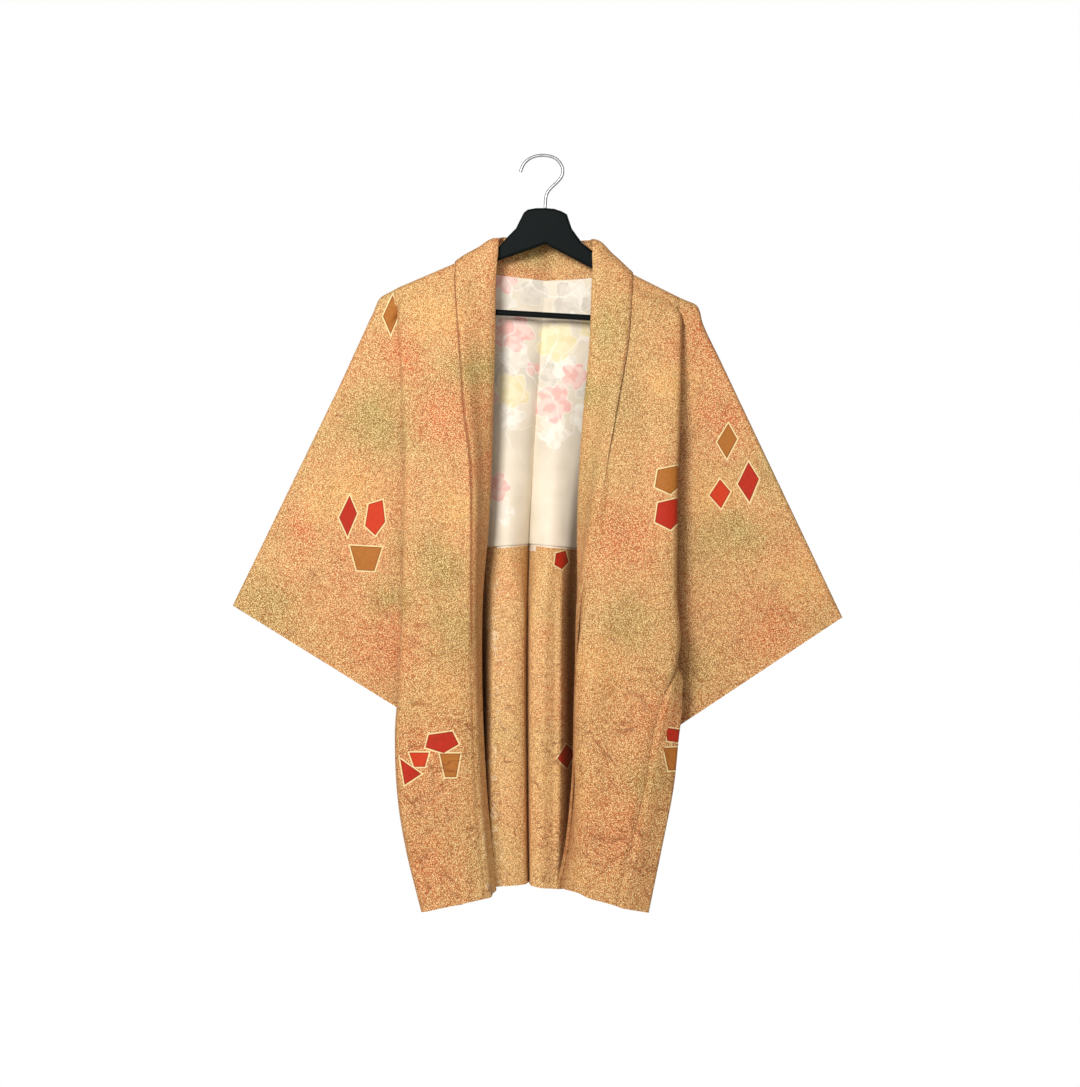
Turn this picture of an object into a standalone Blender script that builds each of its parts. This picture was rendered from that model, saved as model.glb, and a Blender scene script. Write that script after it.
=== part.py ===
"""A haori jacket hung open on a black plastic hanger, as solids in metres.

The frame: +X is to the right of someone who faces the jacket's front, +Y goes back
through it to its rear, +Z is up. The origin is the underside of the hook's crown,
where a rail or a peg carries the hanger. "Left" and "right" are as that person sees.

Every piece of cloth is a wall worked out from a few key lines that run along it:
down the front from hem to shoulder ridge, over the ridge, and down the back.
A place along a line is its station. Front: 0 is the hem, 5 the underarm and 10 the
ridge. Back: 10 to 20, the same stations in reverse, so 15 is the underarm and
20 the hem. Each line is a short table with the columns
(station, across, depth, drop): across is +X, depth is +Y and drop is down from the
hook, all in millimetres.
"""

import bmesh
import bpy
import numpy as np

MM = 0.001

# Walls and the clearance at seams
BODY_WALL = 1.6  # silk with its lining
COLLAR_WALL = 1.8  # doubled silk with a stiffener
GUSSET_WALL = 1.5
LINING_WALL = 1.0
SEAM_GAP = 0.3
SIDES = ("left", "right")
OUTWARD = {"left": -1.0, "right": 1.0}  # the way from the centre to each sleeve
RIDGE = 10
UNDERARM = 5
NECK_CENTRE = 12  # where the back neck seam reaches the centre back
BACK_HEM = 20

# Where the collar is sewn on, and the centre back seam below it
SEAM = {
    "left": [
        (0, -75, -40, 937), (1, -87, -40, 800), (2, -92, -41, 675), (3, -94, -42, 562),
        (4, -93, -42, 474), (5, -94, -39, 388), (6, -101, -35, 324), (7, -107, -26, 240),
        (8, -112, -16, 171), (9, -112, -9, 147), (10, -110, 0, 134), (10.5, -100, 7, 138),
        (11, -85, 12, 144), (11.5, -51, 16, 150), (12, -1, 19, 156),
    ],
    "right": [
        (0, 20, -15, 926), (0.5, 31, -15, 871), (1, 38, -17, 802), (2, 42, -27, 675),
        (3, 47, -37, 562), (4, 63, -44, 474), (5, 75, -41, 392), (6, 87, -35, 324),
        (7, 102, -26, 240), (8, 107, -16, 179), (9, 108, -9, 161), (10, 108, 0, 148),
        (10.5, 98, 7, 149), (11, 80, 12, 150), (11.5, 45, 16, 154), (12, -1, 19, 156),
    ],
}
CENTRE_BACK = [
    (12, -1, 19, 156), (13, -3, 30, 211), (14, -9, 38, 294), (15, -15, 44, 384),
    (16, -20, 50, 473), (17, -22, 54, 564), (18, -23, 56, 680), (19, -22, 56, 808),
    (20, -20, 56, 922),
]
# The outer fold of the front, where it turns back behind itself
FRONT_FOLD = {
    "left": [
        (0, -155, -35, 954), (0.5, -174, -35, 877), (1, -185, -35, 807),
        (1.5, -188, -35, 732), (2, -184, -35, 675), (3, -180, -34, 566),
        (4, -178, -32, 478), (5, -177, -29, 393), (6, -180, -25, 327),
        (7, -183, -18, 249), (8, -186, -11, 193), (8.5, -183, -10.5, 184),
        (9, -184, -9.5, 177), (10, -186, 0, 166.5),
    ],
    "right": [
        (0, 87, -49.5, 945), (1, 122, -51, 804), (1.5, 135, -50.5, 729), (2, 150, -49.5, 678),
        (2.25, 163, -46, 650), (2.5, 169, -38, 622), (3, 166, -34, 566), (4, 166, -32, 481),
        (5, 167, -29, 411),
        (6, 170, -25, 340), (7, 172, -18, 261), (8, 172, -11, 203), (8.5, 168, -10.5, 194),
        (9, 168, -9.5, 187), (10, 167, 0, 177.5),
    ],
}
# The inner end of that pleat, where the cloth turns out again
FRONT_TURN = {
    "left": [
        (0, -104, -17, 947), (1, -104, -17, 810), (2, -103, -15, 676), (3, -101, -14, 566),
        (4, -94, -12, 478), (5, -85, -11, 393), (6, -99, -9, 345), (7, -146, -8, 286),
        (8, -181, -7.5, 196), (8.5, -190, -9, 189),
        (9, -191, -8.5, 180.5), (10, -193, 0, 170.5),
    ],
    "right": [
        (0, 97, -48.5, 949), (1, 132, -49.5, 805), (1.5, 144, -49, 730), (2, 157, -47.5, 679),
        (2.25, 164, -40, 651), (2.5, 160, -31, 625), (3, 125, -20, 571), (4, 97, -14, 493),
        (5, 73, -11, 410), (6, 91, -9, 360), (7, 136, -8, 299), (8, 166, -7.5, 206),
        (8.5, 175, -9, 200), (9, 176, -8.5, 191), (10, 177, 0, 182),
    ],
}
# The cloth's outer edge: the side seam to the underarm, then the armhole seam
FRONT_EDGE = {
    "left": [
        (0, -112, -12, 945), (1, -111, -11, 809), (2, -111, -10, 676), (3, -107, -9, 566),
        (4, -100, -7, 478), (5, -89, -2.6, 384), (6, -140, -2.6, 355), (7, -202, -2.6, 320),
        (8, -247, -2.6, 295), (9, -256, -2.6, 291), (10, -259, 0, 288),
    ],
    "right": [
        (0, 107, -45, 951), (0.5, 123, -46, 882), (1, 141, -46, 807), (1.5, 152, -45, 731),
        (2, 163, -43, 680), (2.25, 168, -35, 652), (2.5, 163, -25, 625), (3, 133, -14, 571),
        (4, 106, -9, 493), (5, 81, -2.6, 411),
        (6, 129, -2.6, 379), (7, 189, -2.6, 340), (8, 232, -2.6, 313),
        (9, 241, -2.6, 307), (10, 244, 0, 305),
    ],
}
# The corner round the hanger's tip, and the shoulder slope below it
CORNER = {
    "left": [(7.5, -184, -6, 250), (8, -197, -6, 222), (9, -208, -7, 190), (10, -208, 0, 179)],
    "right": [(7.5, 169, -6, 262), (8, 184, -6, 232), (9, 192, -7, 200), (10, 192, 0, 189)],
}
SHOULDER = {
    "left": [(7.5, -206, -4, 268), (8, -213, -4, 252), (9, -218, -5.5, 210), (10, -218, 0, 199)],
    "right": [(7.5, 193, -4, 281), (8, 199, -4, 264), (9, 199, -5.5, 223), (10, 200, 0, 212)],
}
# The back's outer fold, turn and edge lie behind the front's, a little further in
BACK_FOLD = {
    "left": [
        (10, -186, 0, 166.5), (11, -184, 9.5, 177), (11.5, -181, 11.5, 184),
        (12, -183, 14, 193), (13, -176, 20, 249),
        (14, -172, 26, 327), (15, -169, 30, 393), (16, -170, 33, 478), (17, -172, 35, 564),
        (18, -176, 36, 668), (19, -174, 36, 790), (20, -158, 36, 925),
    ],
    "right": [
        (10, 167, 0, 177.5), (11, 168, 9.5, 187), (11.5, 167, 11.5, 194),
        (12, 169, 14, 203), (13, 165, 20, 261),
        (14, 162, 26, 340), (15, 160, 30, 411), (16, 159, 33, 481), (17, 159, 35, 564),
        (18, 161, 37, 672), (19, 150, 38, 794), (20, 122, 36, 930),
    ],
}
BACK_TURN = {
    "left": [
        (10, -193, 0, 170.5), (11, -191, 8.5, 180.5), (11.5, -189, 9, 189),
        (12, -178, 7.5, 197), (13, -146, 8, 286),
        (14, -99, 9, 345), (15, -85, 11, 393), (16, -94, 12, 478), (17, -101, 14, 565),
        (18, -103, 17, 672), (19, -104, 20, 796), (20, -104, 22, 924),
    ],
    "right": [
        (10, 177, 0, 182), (11, 176, 8.5, 191), (11.5, 174, 9, 200),
        (12, 164, 7.5, 206), (13, 136, 8, 299),
        (14, 91, 9, 360), (15, 73, 11, 410), (16, 80, 14, 490), (17, 87, 18, 567),
        (18, 100, 22, 675), (19, 100, 25, 798), (20, 78, 28, 926),
    ],
}
BACK_EDGE = {
    "left": [
        (10, -259, 0, 288), (11, -256, 2.6, 291), (12, -247, 2.6, 295), (13, -202, 2.6, 320),
        (14, -140, 2.6, 355), (15, -89, 2.6, 384), (16, -100, 7, 478), (17, -107, 9, 565),
        (18, -111, 10, 672), (19, -111, 11, 796), (20, -112, 12, 922),
    ],
    "right": [
        (10, 244, 0, 305), (11, 241, 2.6, 307), (12, 232, 2.6, 313), (13, 189, 2.6, 340),
        (14, 129, 2.6, 379), (15, 81, 2.6, 411), (16, 88, 7, 490), (17, 95, 11, 567),
        (18, 109, 14, 675), (19, 109, 16, 798), (20, 86, 18, 926),
    ],
}
# The soft rolls of the back on each side of the centre seam
ROLL_PEAK = {
    "left": [
        (12, -30, 16, 162), (13, -33, 22, 213), (14, -36, 24, 296), (15, -40, 21, 386),
        (16, -46, 11, 476), (17, -48, 0, 566), (18, -48, -7, 680), (19, -47, -8, 808),
        (20, -45, -6, 925),
    ],
    "right": [
        (12, 28, 16, 160), (13, 30, 22, 213), (14, 24, 26, 296), (15, 14, 23, 386),
        (16, 6, 12, 476), (17, 3, 0, 566), (18, 2, -7, 680), (19, 1, -8, 808),
        (20, 0, -6, 928),
    ],
}
ROLL_OUTER = {
    "left": [
        (12, -55, 15, 160), (13, -62, 26, 215), (14, -66, 32, 298), (15, -70, 30, 388),
        (16, -69, 24, 478), (17, -69, 13, 566), (18, -69, 4, 680), (19, -69, 2, 806),
        (20, -67, 4, 927),
    ],
    "right": [
        (12, 52, 15, 160), (13, 58, 26, 217), (14, 50, 31, 300), (15, 36, 31, 390),
        (16, 27, 22, 478), (17, 22, 12, 566), (18, 21, 5, 680), (19, 20, 4, 808),
        (20, 18, 6, 930),
    ],
}
ROLL_FOOT = {
    "left": [
        (12, -72, 14, 160), (13, -84, 31, 219), (14, -92, 39, 300), (15, -96, 44, 390),
        (16, -94, 48, 480), (17, -88, 50, 568), (18, -82, 50, 680), (19, -82, 50, 804),
        (20, -80, 50, 928),
    ],
    "right": [
        (12, 70, 14, 160), (13, 78, 31, 221), (14, 70, 39, 304), (15, 52, 45, 392),
        (16, 44, 49, 480), (17, 42, 51, 566), (18, 42, 52, 680), (19, 42, 52, 808),
        (20, 38, 52, 931),
    ],
}
# How far the flat of the front and of the back stand from the hanger's middle
FRONT_MAIN = [
    (0, -50), (1, -52), (2, -52), (3, -50), (4, -47), (5, -42), (6, -36), (7, -27),
    (8, -17), (9, -9.5), (10, 0),
]
BACK_MAIN = [
    (10, 0), (11, 9.5), (12, 18), (13, 27), (14, 36), (15, 43), (16, 49), (17, 53),
    (18, 54), (19, 54), (20, 52),
]
PLEAT_OPENS = 15.0  # the pleat's width where its layers are fully apart
PLEAT_GAP = 5.0
# The front near the collar: share of its width, share of its depth, then how far out
# it turns where it is rolled, tightly and near the hem broadly, and its depth there
EDGE_ROLL = ((0.07, 0.62, -3, 7, 0.45), (0.25, 1.0, 5, 24, 0.92))
ROLL_STARTS = 9.0  # the depth behind the flat at which the edge starts to roll
ROLL_FULL = 21.0  # and where it is wholly rolled
BROAD_ROLL = (1.3, 0.5)  # the stations between which the roll turns broad
FRONT_SHARES = (0.5, 0.75, 0.88)  # of the way from the edge to the outer fold
BACK_SHARES = (0.12, 0.3, 0.5, 0.72, 0.88)
# The collar's crown, where it folds outwards, and its free edge behind the neck
COLLAR_CROWN = {
    "left": [
        (0, -66, -1, 930), (1, -78, -1, 804), (2, -84, -2, 677), (3, -83, -3, 563),
        (4, -75, -4, 474), (5, -70, -6, 388), (6, -68, -8, 323), (7, -65, -9, 239),
        (8, -64, -9, 170), (9, -61, -10, 129), (10, -58, 0, 106), (10.5, -56, 12, 103),
        (11, -50, 22, 101), (11.5, -29, 30, 104), (12, -1, 34, 106),
    ],
    "right": [
        (0, 34, 10, 919), (1, 48, 10, 805), (2, 49, 8, 677), (3, 47, 4, 563),
        (4, 44, 0, 474), (5, 46, -5, 398), (6, 51, -8, 323), (7, 58, -9, 239),
        (8, 60, -9, 179), (9, 61, -10, 134), (10, 60, 0, 107), (10.5, 57, 12, 106),
        (11, 50, 22, 105), (11.5, 27, 30, 105), (12, -1, 34, 106),
    ],
}
COLLAR_EDGE_BACK = {
    "left": [(10.5, -115, 13, 139), (11, -105, 24, 149), (11.5, -60, 35, 157), (12, -1, 42, 160)],
    "right": [(10.5, 111, 13, 149), (11, 96, 24, 154), (11.5, 58, 35, 158), (12, -1, 42, 160)],
}
COLLAR_LAP = 3.0  # how far the folded half reaches past the seam
COLLAR_LIFT = 4.0  # how far it lies above the cloth it covers
LOW_LIFT = 3.0  # the same near the hem, where it is pressed flat
LIFT_RISES = (4, 5)  # the stations between which it grows from one to the other
CROWN_BEND = (2.5, 0.6)  # the crown's rounding: back from its top, and past it
KNEE_LIFT = 1.1  # of the lift, where the folded half turns over the seam
KNEE_SHARE = 0.92  # of the folded half, where it turns behind the neck

# The sleeve's bottom fold, from the underarm to the cuff, by share of the sleeve
SLEEVE_TIP = {"left": (-396, 0, 570), "right": (377, 0, 585)}
SLEEVE_FOOT = {
    "left": [(0, -91, 0, 382.5), (0.06, -97, 0, 407), (0.5, -117, 0, 563), (1, -122, 0, 740)],
    "right": [
        (0, 83, 0, 409.5), (0.08, 93, 0, 436), (0.25, 105, 0, 493), (0.5, 124, 0, 572),
        (0.84, 142, 0, 682), (1, 151, 0, 735),
    ],
}
SLEEVE_ROWS = 12
ARMHOLE_STEPS = [0.25, 0.5, 0.75, 1, 1.5, 2, 2.5, 3, 3.5, 4, 4.5, 5]

# The outer fold of each side gusset
GUSSET_FOLD = {
    "left": [(0, -108, -1, 944), (2, -107, -1, 675), (4, -96, -1, 478), (5, -86, 0, 388)],
    "right": [
        (0, 130, -33, 956), (0.5, 146, -35, 877), (1, 161, -36, 800), (1.5, 168, -34, 735),
        (1.8, 172, -34, 702), (2, 172, -33, 684), (2.25, 171, -29, 655), (2.5, 138, -16, 628),
        (3, 112, -7, 571), (4, 94, -3, 493), (5, 79, 0, 415),
    ],
}
GUSSET_TOP = 4.5
LINING_TOP = 11
LINING_END = 16.2  # the station of the lining's lower edge
GUSSET_SAG = 6.0  # how far the part behind the fold hangs inwards
MOST_MITRE = 1.3  # the most by which a wall is drawn out at a bend

# The hanger: its outline in the plane across and drop, in millimetres
HANGER_DEPTH = 9.0
HANGER_BEVEL = 3.0
ARM_CLEARANCE = 4.8  # from the middle of the cloth's wall to the arm
ARM_HEIGHT = 15.0
ARM_REACH = {"left": -199.0, "right": 182.0}
NECK_TOP = [(-22, 67), (-12, 65.2), (0, 65), (12, 66), (21, 69), (28, 73)]
NECK_FLANK = {"left": [(-27, 71), (-37, 91), (-46, 100)], "right": [(34, 91), (47, 109)]}
ARM_ROOT = {"left": (-61, 117), "right": (58, 118)}
WINDOW_APEX = [(-8, 114), (0, 110.5), (8, 115)]
WINDOW_SIDE = {"left": (-62, 133), "right": (60, 142)}
BAR_TOP = {"left": 186.0, "right": 207.5}
BAR_HEIGHT = 7.5
ARM_SHARES = (0.35, 0.7)  # of the arm, where its top is measured
# The arm's rounded tip: how far in from its reach, and how far below the arm's top
ARM_TIP = [(4, 4.5), (0, 10), (1, 17)]
TIP_INSET = 12.0
BAR_INSET = 8.0  # of the bar's lower corners from the arms' reach
# The window's corners: in from the arms' reach, and below the bar's top or the arms
WINDOW_LOW = {"left": (26, 1.3), "right": (24, -1.0)}
WINDOW_HIGH = {"left": 24, "right": 22}
WINDOW_MID = {"left": -120, "right": 116}

# The hook: its wire and the middle of its path, across and drop
HOOK_WIRE = 2.0
WIRE_SIDES = 12
HOOK_PATH = [
    (-31, 19), (-29.5, 14), (-27, 9.2), (-23.5, 5), (-19, 1.8), (-14, -0.4), (-9, -1.6),
    (-4, -2), (2, -1.8), (9, -0.4), (14.5, 2.4), (19, 7), (22, 12.5), (23, 18), (21.8, 24),
    (18.5, 29), (13.5, 34), (8, 39), (4, 43.5), (1.6, 49), (0.6, 56), (0.4, 64.6),
]


def over_ridge(first, second, share, ridge_first):
    """A quarter round between the ridge's top and the next station beside it."""
    top, beside = (first, second) if ridge_first else (second, first)
    turned = share if ridge_first else 1 - share
    angle = turned * np.pi / 2
    if len(top) == 1:
        return top + (beside - top) * np.sin(angle)
    return top + (beside - top) * np.array([turned, np.sin(angle), 1 - np.cos(angle)])


def line(rows):
    """A smooth curve through a table's points, as a function of the station."""
    table = np.array(rows, dtype=float)
    at, values = table[:, 0], table[:, 1:]
    slope = np.gradient(values, at, axis=0)

    def point(station):
        low = int(np.clip(np.searchsorted(at, station, side="right") - 1, 0, len(at) - 2))
        span = at[low + 1] - at[low]
        share = np.clip((station - at[low]) / span, 0.0, 1.0)
        if span == 1 and RIDGE in (at[low], at[low + 1]):
            return over_ridge(values[low], values[low + 1], share, at[low] == RIDGE)
        rise = share * share * (3 - 2 * share)
        lead = share * (1 - share) ** 2 * span
        tail = share * share * (share - 1) * span
        return (
            values[low] * (1 - rise) + values[low + 1] * rise
            + slope[low] * lead + slope[low + 1] * tail
        )

    return point


def lines(tables):
    return {side: line(rows) for side, rows in tables.items()}


def between(first, second, share):
    return first + (second - first) * share


def unit(vector):
    return vector / max(np.linalg.norm(vector), 1e-9)


neck_seam, crown, centre_back = lines(SEAM), lines(COLLAR_CROWN), line(CENTRE_BACK)
gusset_fold = lines(GUSSET_FOLD)
corner, shoulder = lines(CORNER), lines(SHOULDER)
front_fold, front_turn, front_edge = lines(FRONT_FOLD), lines(FRONT_TURN), lines(FRONT_EDGE)
back_fold, back_turn, back_edge = lines(BACK_FOLD), lines(BACK_TURN), lines(BACK_EDGE)
roll_peak, roll_outer, roll_foot = lines(ROLL_PEAK), lines(ROLL_OUTER), lines(ROLL_FOOT)
sleeve_foot = lines(SLEEVE_FOOT)
front_main, back_main = line(FRONT_MAIN), line(BACK_MAIN)


def seam(side, station):
    return neck_seam[side](station) if station <= NECK_CENTRE else centre_back(station)


def shoulder_points(side, station, turn, edge):
    """The cloth between the pleat's inner turn and the armhole seam: three points."""
    near = station if station <= RIDGE else 2 * RIDGE - station
    plain = [between(turn, edge, share) for share in (0.14, 0.42, 0.72)]
    if near <= 7.5:
        return plain
    flip = np.array([1.0, 1.0 if station <= RIDGE else -1.0, 1.0])
    tip = corner[side](near) * flip
    slope = shoulder[side](near) * flip
    mix = min(1.0, (near - 7.5) / 0.5)
    shaped = [tip, slope, between(slope, edge, 0.5)]
    return [between(a, b, mix) for a, b in zip(plain, shaped)]


def outer_points(side, station, last_main, depth):
    """From the flat of the cloth round the outer fold, inwards, and out to the edge."""
    is_front = station <= RIDGE
    fold = (front_fold if is_front else back_fold)[side](station)
    turn = (front_turn if is_front else back_turn)[side](station)
    edge = (front_edge if is_front else back_edge)[side](station)
    # how far the pleat is open, from 0 where it is flat
    opened = float(np.clip(OUTWARD[side] * (fold[0] - turn[0]) / PLEAT_OPENS, 0, 1))
    inner_depth = turn[1] + (-1 if is_front else 1) * PLEAT_GAP * opened
    before = between(fold, last_main, 0.3)
    before[1] = between(fold[1], depth, 0.8)
    after = between(fold, turn, 0.14)
    after[1] = between(fold[1], inner_depth, 0.8)
    return_ = between(fold, turn, 0.5)
    return_[1] = inner_depth
    near_turn = between(fold, turn, 0.92)
    near_turn[1] = between(inner_depth, turn[1], 0.25)
    out = shoulder_points(side, station, turn, edge)
    return [before, fold, after, return_, near_turn, turn, *out, edge]


def front_row(side, station):
    """One row of the front, from the collar seam to the outer edge."""
    out = OUTWARD[side]
    start, fold = seam(side, station), front_fold[side](station)
    depth = front_main(station)[0]
    # rolled is 1 where the front's own edge turns back into the jacket
    rolled = float(np.interp(start[1] - depth, (ROLL_STARTS, ROLL_FULL), (0, 1)))
    wide = float(np.interp(-station, (-BROAD_ROLL[0], -BROAD_ROLL[1]), (0, 1)))
    main = []
    for share, rise, tight, broad, roll_depth in EDGE_ROLL:
        flat = between(start, fold, share)
        flat[1] = between(start[1], depth, rise)
        turned = start + np.array([out * between(tight, broad, wide), 0, 0])
        turned[1] = between(start[1], depth, roll_depth)
        turned[2] = flat[2]
        main.append(between(flat, turned, rolled))
    for share in FRONT_SHARES:
        flat = between(start, fold, share)
        flat[1] = depth
        main.append(flat)
    return [start, *main, *outer_points(side, station, main[-1], depth)]


def back_row(side, station):
    """One row of the back, from the neck or centre seam to the outer edge."""
    start = seam(side, station)
    depth = back_main(station)[0]
    fold = back_fold[side](station)
    plain = []
    for share in BACK_SHARES:
        flat = between(start, fold, share)
        flat[1] = between(start[1], depth, min(1.0, share * 3))
        plain.append(flat)
    if station <= NECK_CENTRE:
        main = plain
    else:
        peak, outer, foot = (k[side](station) for k in (roll_peak, roll_outer, roll_foot))
        rise = between(start, peak, 0.3)
        rise[1] = between(start[1], peak[1], 0.62)
        flat = between(foot, fold, 0.55)
        flat[1] = depth
        mix = min(1.0, station - NECK_CENTRE)
        main = [between(a, b, mix) for a, b in zip(plain, (rise, peak, outer, foot, flat))]
    return [start, *main, *outer_points(side, station, main[-1], depth)]


def body_row(side, station):
    return front_row(side, station) if station <= RIDGE else back_row(side, station)


def collar_lift(side, station):
    """Up the collar from its sewn edge, and out from it and from the cloth beside it."""
    here = seam(side, station)
    along = seam(side, station + 0.05) - seam(side, station - 0.05)
    rise = unit(crown[side](station) - here)
    beside = unit(body_row(side, station)[1] - here)
    if station > RIDGE:
        beside = -rise
    out = OUTWARD[side]
    return rise, beside, -out * unit(np.cross(along, rise)), out * unit(np.cross(along, beside))


def lapped_edge(side, station):
    """The collar's free edge where it lies just over the seam."""
    lap, up = collar_lift(side, station)[1::2]
    height = float(np.interp(station, LIFT_RISES, (LOW_LIFT, COLLAR_LIFT)))
    return seam(side, station) + lap * COLLAR_LAP + up * height


collar_edge_back = {
    side: line([(RIDGE, *lapped_edge(side, RIDGE)), *COLLAR_EDGE_BACK[side]])
    for side in SIDES
}


def collar_row(side, station):
    """One section of the folded collar: sewn edge, crown, free edge."""
    sewn, top = seam(side, station), crown[side](station)
    rise, _, lift, up = collar_lift(side, station)
    high = top + lift * COLLAR_LIFT
    if station <= RIDGE:
        free = lapped_edge(side, station)
        knee = sewn + unit(lift + up) * COLLAR_LIFT * KNEE_LIFT
    else:
        free = collar_edge_back[side](station)
        knee = between(high, free, KNEE_SHARE)
    down = unit(knee - high)
    back, past = CROWN_BEND
    return [
        sewn,
        between(sewn, top, 0.5),
        top - rise * back,
        between(top, high, 0.5) + rise * past,
        high + down * back,
        between(high, knee, 0.5),
        knee,
        free,
    ]


def to_space(points):
    """Across, depth and drop in millimetres to X, Y and Z in metres."""
    points = np.asarray(points, dtype=float)
    return np.stack([points[..., 0], points[..., 1], -points[..., 2]], axis=-1) * MM


def directions(vectors):
    return vectors / np.maximum(np.linalg.norm(vectors, axis=-1, keepdims=True), 1e-9)


def surface_normals(grid, ghosts, loop, ends=(None, None)):
    """Unit normals of a grid of points, with the neighbour's points across its seams."""
    before = grid[:1] if ends[0] is None else ends[0][None]
    beyond = grid[-1:] if ends[1] is None else ends[1][None]
    rows = np.concatenate([before, grid, beyond])
    steps = directions(rows[1:] - rows[:-1])
    down = steps[1:] + steps[:-1]
    first, last = ghosts
    if loop:
        columns = np.concatenate([grid[:, -1:], grid, grid[:, :1]], axis=1)
    else:
        left = grid[:, :1] if first is None else first[:, None]
        right = grid[:, -1:] if last is None else last[:, None]
        columns = np.concatenate([left, grid, right], axis=1)
    steps = directions(columns[:, 1:] - columns[:, :-1])
    across = steps[:, 1:] + steps[:, :-1]
    present = np.linalg.norm(steps, axis=-1, keepdims=True) > 0.5
    count = present[:, 1:].astype(float) + present[:, :-1]
    # at a bend the offset is longer, so that the wall keeps its thickness
    mitre = count / np.linalg.norm(across, axis=-1, keepdims=True)
    return directions(np.cross(down, across)) * np.clip(mitre, 1.0, MOST_MITRE)


def material(name, colour, roughness, metallic=0.0):
    made = bpy.data.materials.new(name)
    made.use_nodes = True
    shader = made.node_tree.nodes["Principled BSDF"]
    shader.inputs["Base Color"].default_value = (*colour, 1.0)
    shader.inputs["Roughness"].default_value = roughness
    shader.inputs["Metallic"].default_value = metallic
    made.diffuse_color = (*colour, 1.0)
    return made


def add_object(name, mesh, finish):
    mesh.materials.append(finish)
    made = bpy.data.objects.new(name, mesh)
    bpy.context.collection.objects.link(made)
    return made


def wall(name, rows, thickness, finish, ghosts=(None, None), ends=(None, None), loop=False):
    """A closed wall of even thickness about a grid of points, rows by columns."""
    grid = to_space(rows)
    ghosts = [None if ghost is None else to_space(ghost) for ghost in ghosts]
    ends = [None if end is None else to_space(end) for end in ends]
    normal = surface_normals(grid, ghosts, loop, ends) * thickness / 2 * MM
    sides = [grid + normal, grid - normal]
    bm = bmesh.new()
    skins = [[[bm.verts.new(p) for p in row] for row in side] for side in sides]
    count, wide = grid.shape[0], grid.shape[1]
    steps = range(wide if loop else wide - 1)
    for skin in skins:
        for i in range(count - 1):
            for j in steps:
                k = (j + 1) % wide
                bm.faces.new((skin[i][j], skin[i][k], skin[i + 1][k], skin[i + 1][j]))
    outer, inner = skins
    for i in (0, count - 1):
        for j in steps:
            k = (j + 1) % wide
            bm.faces.new((outer[i][j], outer[i][k], inner[i][k], inner[i][j]))
    if not loop:
        for j in (0, wide - 1):
            for i in range(count - 1):
                bm.faces.new((outer[i][j], outer[i + 1][j], inner[i + 1][j], inner[i][j]))
    bmesh.ops.triangulate(bm, faces=bm.faces)
    bmesh.ops.recalc_face_normals(bm, faces=bm.faces)
    mesh = bpy.data.meshes.new(name)
    bm.to_mesh(mesh)
    bm.free()
    mesh.shade_smooth()
    return add_object(name, mesh, finish)


def pull_in(rows, column, gap):
    """Moves one edge column of a grid towards the inside by gap."""
    inner = 1 if column == 0 else -2
    for row in rows:
        row[column] = row[column] + unit(row[inner] - row[column]) * gap


def stations(first, last, step=0.5):
    count = round((last - first) / step)
    return [first + (last - first) * i / count for i in range(count + 1)]


def body_stations(first, last):
    """Half stations, the lining's end, and quarters at the pleat and the shoulder."""
    extra = {*stations(1.5, 2.5, 0.25), *stations(9, 12.5, 0.25), LINING_END}
    within = {place for place in extra if first <= place <= last}
    return sorted(within | set(stations(first, last)))


def make_body(side, finish):
    """One strip of cloth for half the jacket: hem, front, over the ridge, back, hem."""
    places = body_stations(0, BACK_HEM)
    rows = [body_row(side, station) for station in places]
    other = "right" if side == "left" else "left"
    inner_ghost = [
        collar_row(side, s)[1] if s < NECK_CENTRE else body_row(other, s)[1]
        for s in places
    ]
    outer_ghost = [side_neighbour(side, s) for s in places]
    pull_in(rows, 0, SEAM_GAP / 2)
    pull_in(rows, -1, 1.5 * SEAM_GAP)
    wall(f"body_{side}", rows, BODY_WALL, finish, (inner_ghost, outer_ghost))


def side_neighbour(side, station):
    """The first point past the body's outer edge, on the gusset or on the sleeve."""
    near = station if station <= RIDGE else 2 * RIDGE - station
    if near < UNDERARM:
        row = gusset_row(side, near)
        return row[1] if station <= RIDGE else row[-2]
    return sleeve_point(side, 1 / SLEEVE_ROWS, station)


def make_collar(side, finish):
    """Half the collar, from the centre of the neck to the front hem."""
    places = body_stations(0, NECK_CENTRE)
    rows = [collar_row(side, station) for station in places]
    inner_ghost = [body_row(side, station)[1] for station in places]
    pull_in(rows, 0, SEAM_GAP)
    for point in range(len(rows[-1])):  # the centre back seam of the collar
        rows[-1][point] = rows[-1][point] + np.array([OUTWARD[side] * SEAM_GAP / 2, 0, 0])
    other = "right" if side == "left" else "left"
    beyond = collar_row(other, places[-2])
    wall(f"collar_{side}", rows, COLLAR_WALL, finish, (inner_ghost, None), (None, beyond))


def sleeve_point(side, along, station):
    """A point of the sleeve: along from armhole to cuff, in line with a station."""
    near = station if station <= RIDGE else 2 * RIDGE - station
    top, low = front_edge[side](RIDGE), front_edge[side](UNDERARM)
    edge = (front_edge if station <= RIDGE else back_edge)[side](station)
    flat = np.array([1, 0, 1])
    span = (low - top) * flat
    down = float(np.dot(edge - top, span) / np.dot(span, span))
    crest = between(top, np.array(SLEEVE_TIP[side], dtype=float), along)
    foot = sleeve_foot[side](along)
    point = between(crest, foot, down)
    point[1] = edge[1]
    # at the armhole the sleeve follows the body's own edge
    bend = (edge - between(top, low, down)) * flat
    start = (low - sleeve_foot[side](0)) * flat * down * max(0.0, 1 - along / 0.08)
    return point + bend * (1 - along) + start


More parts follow.
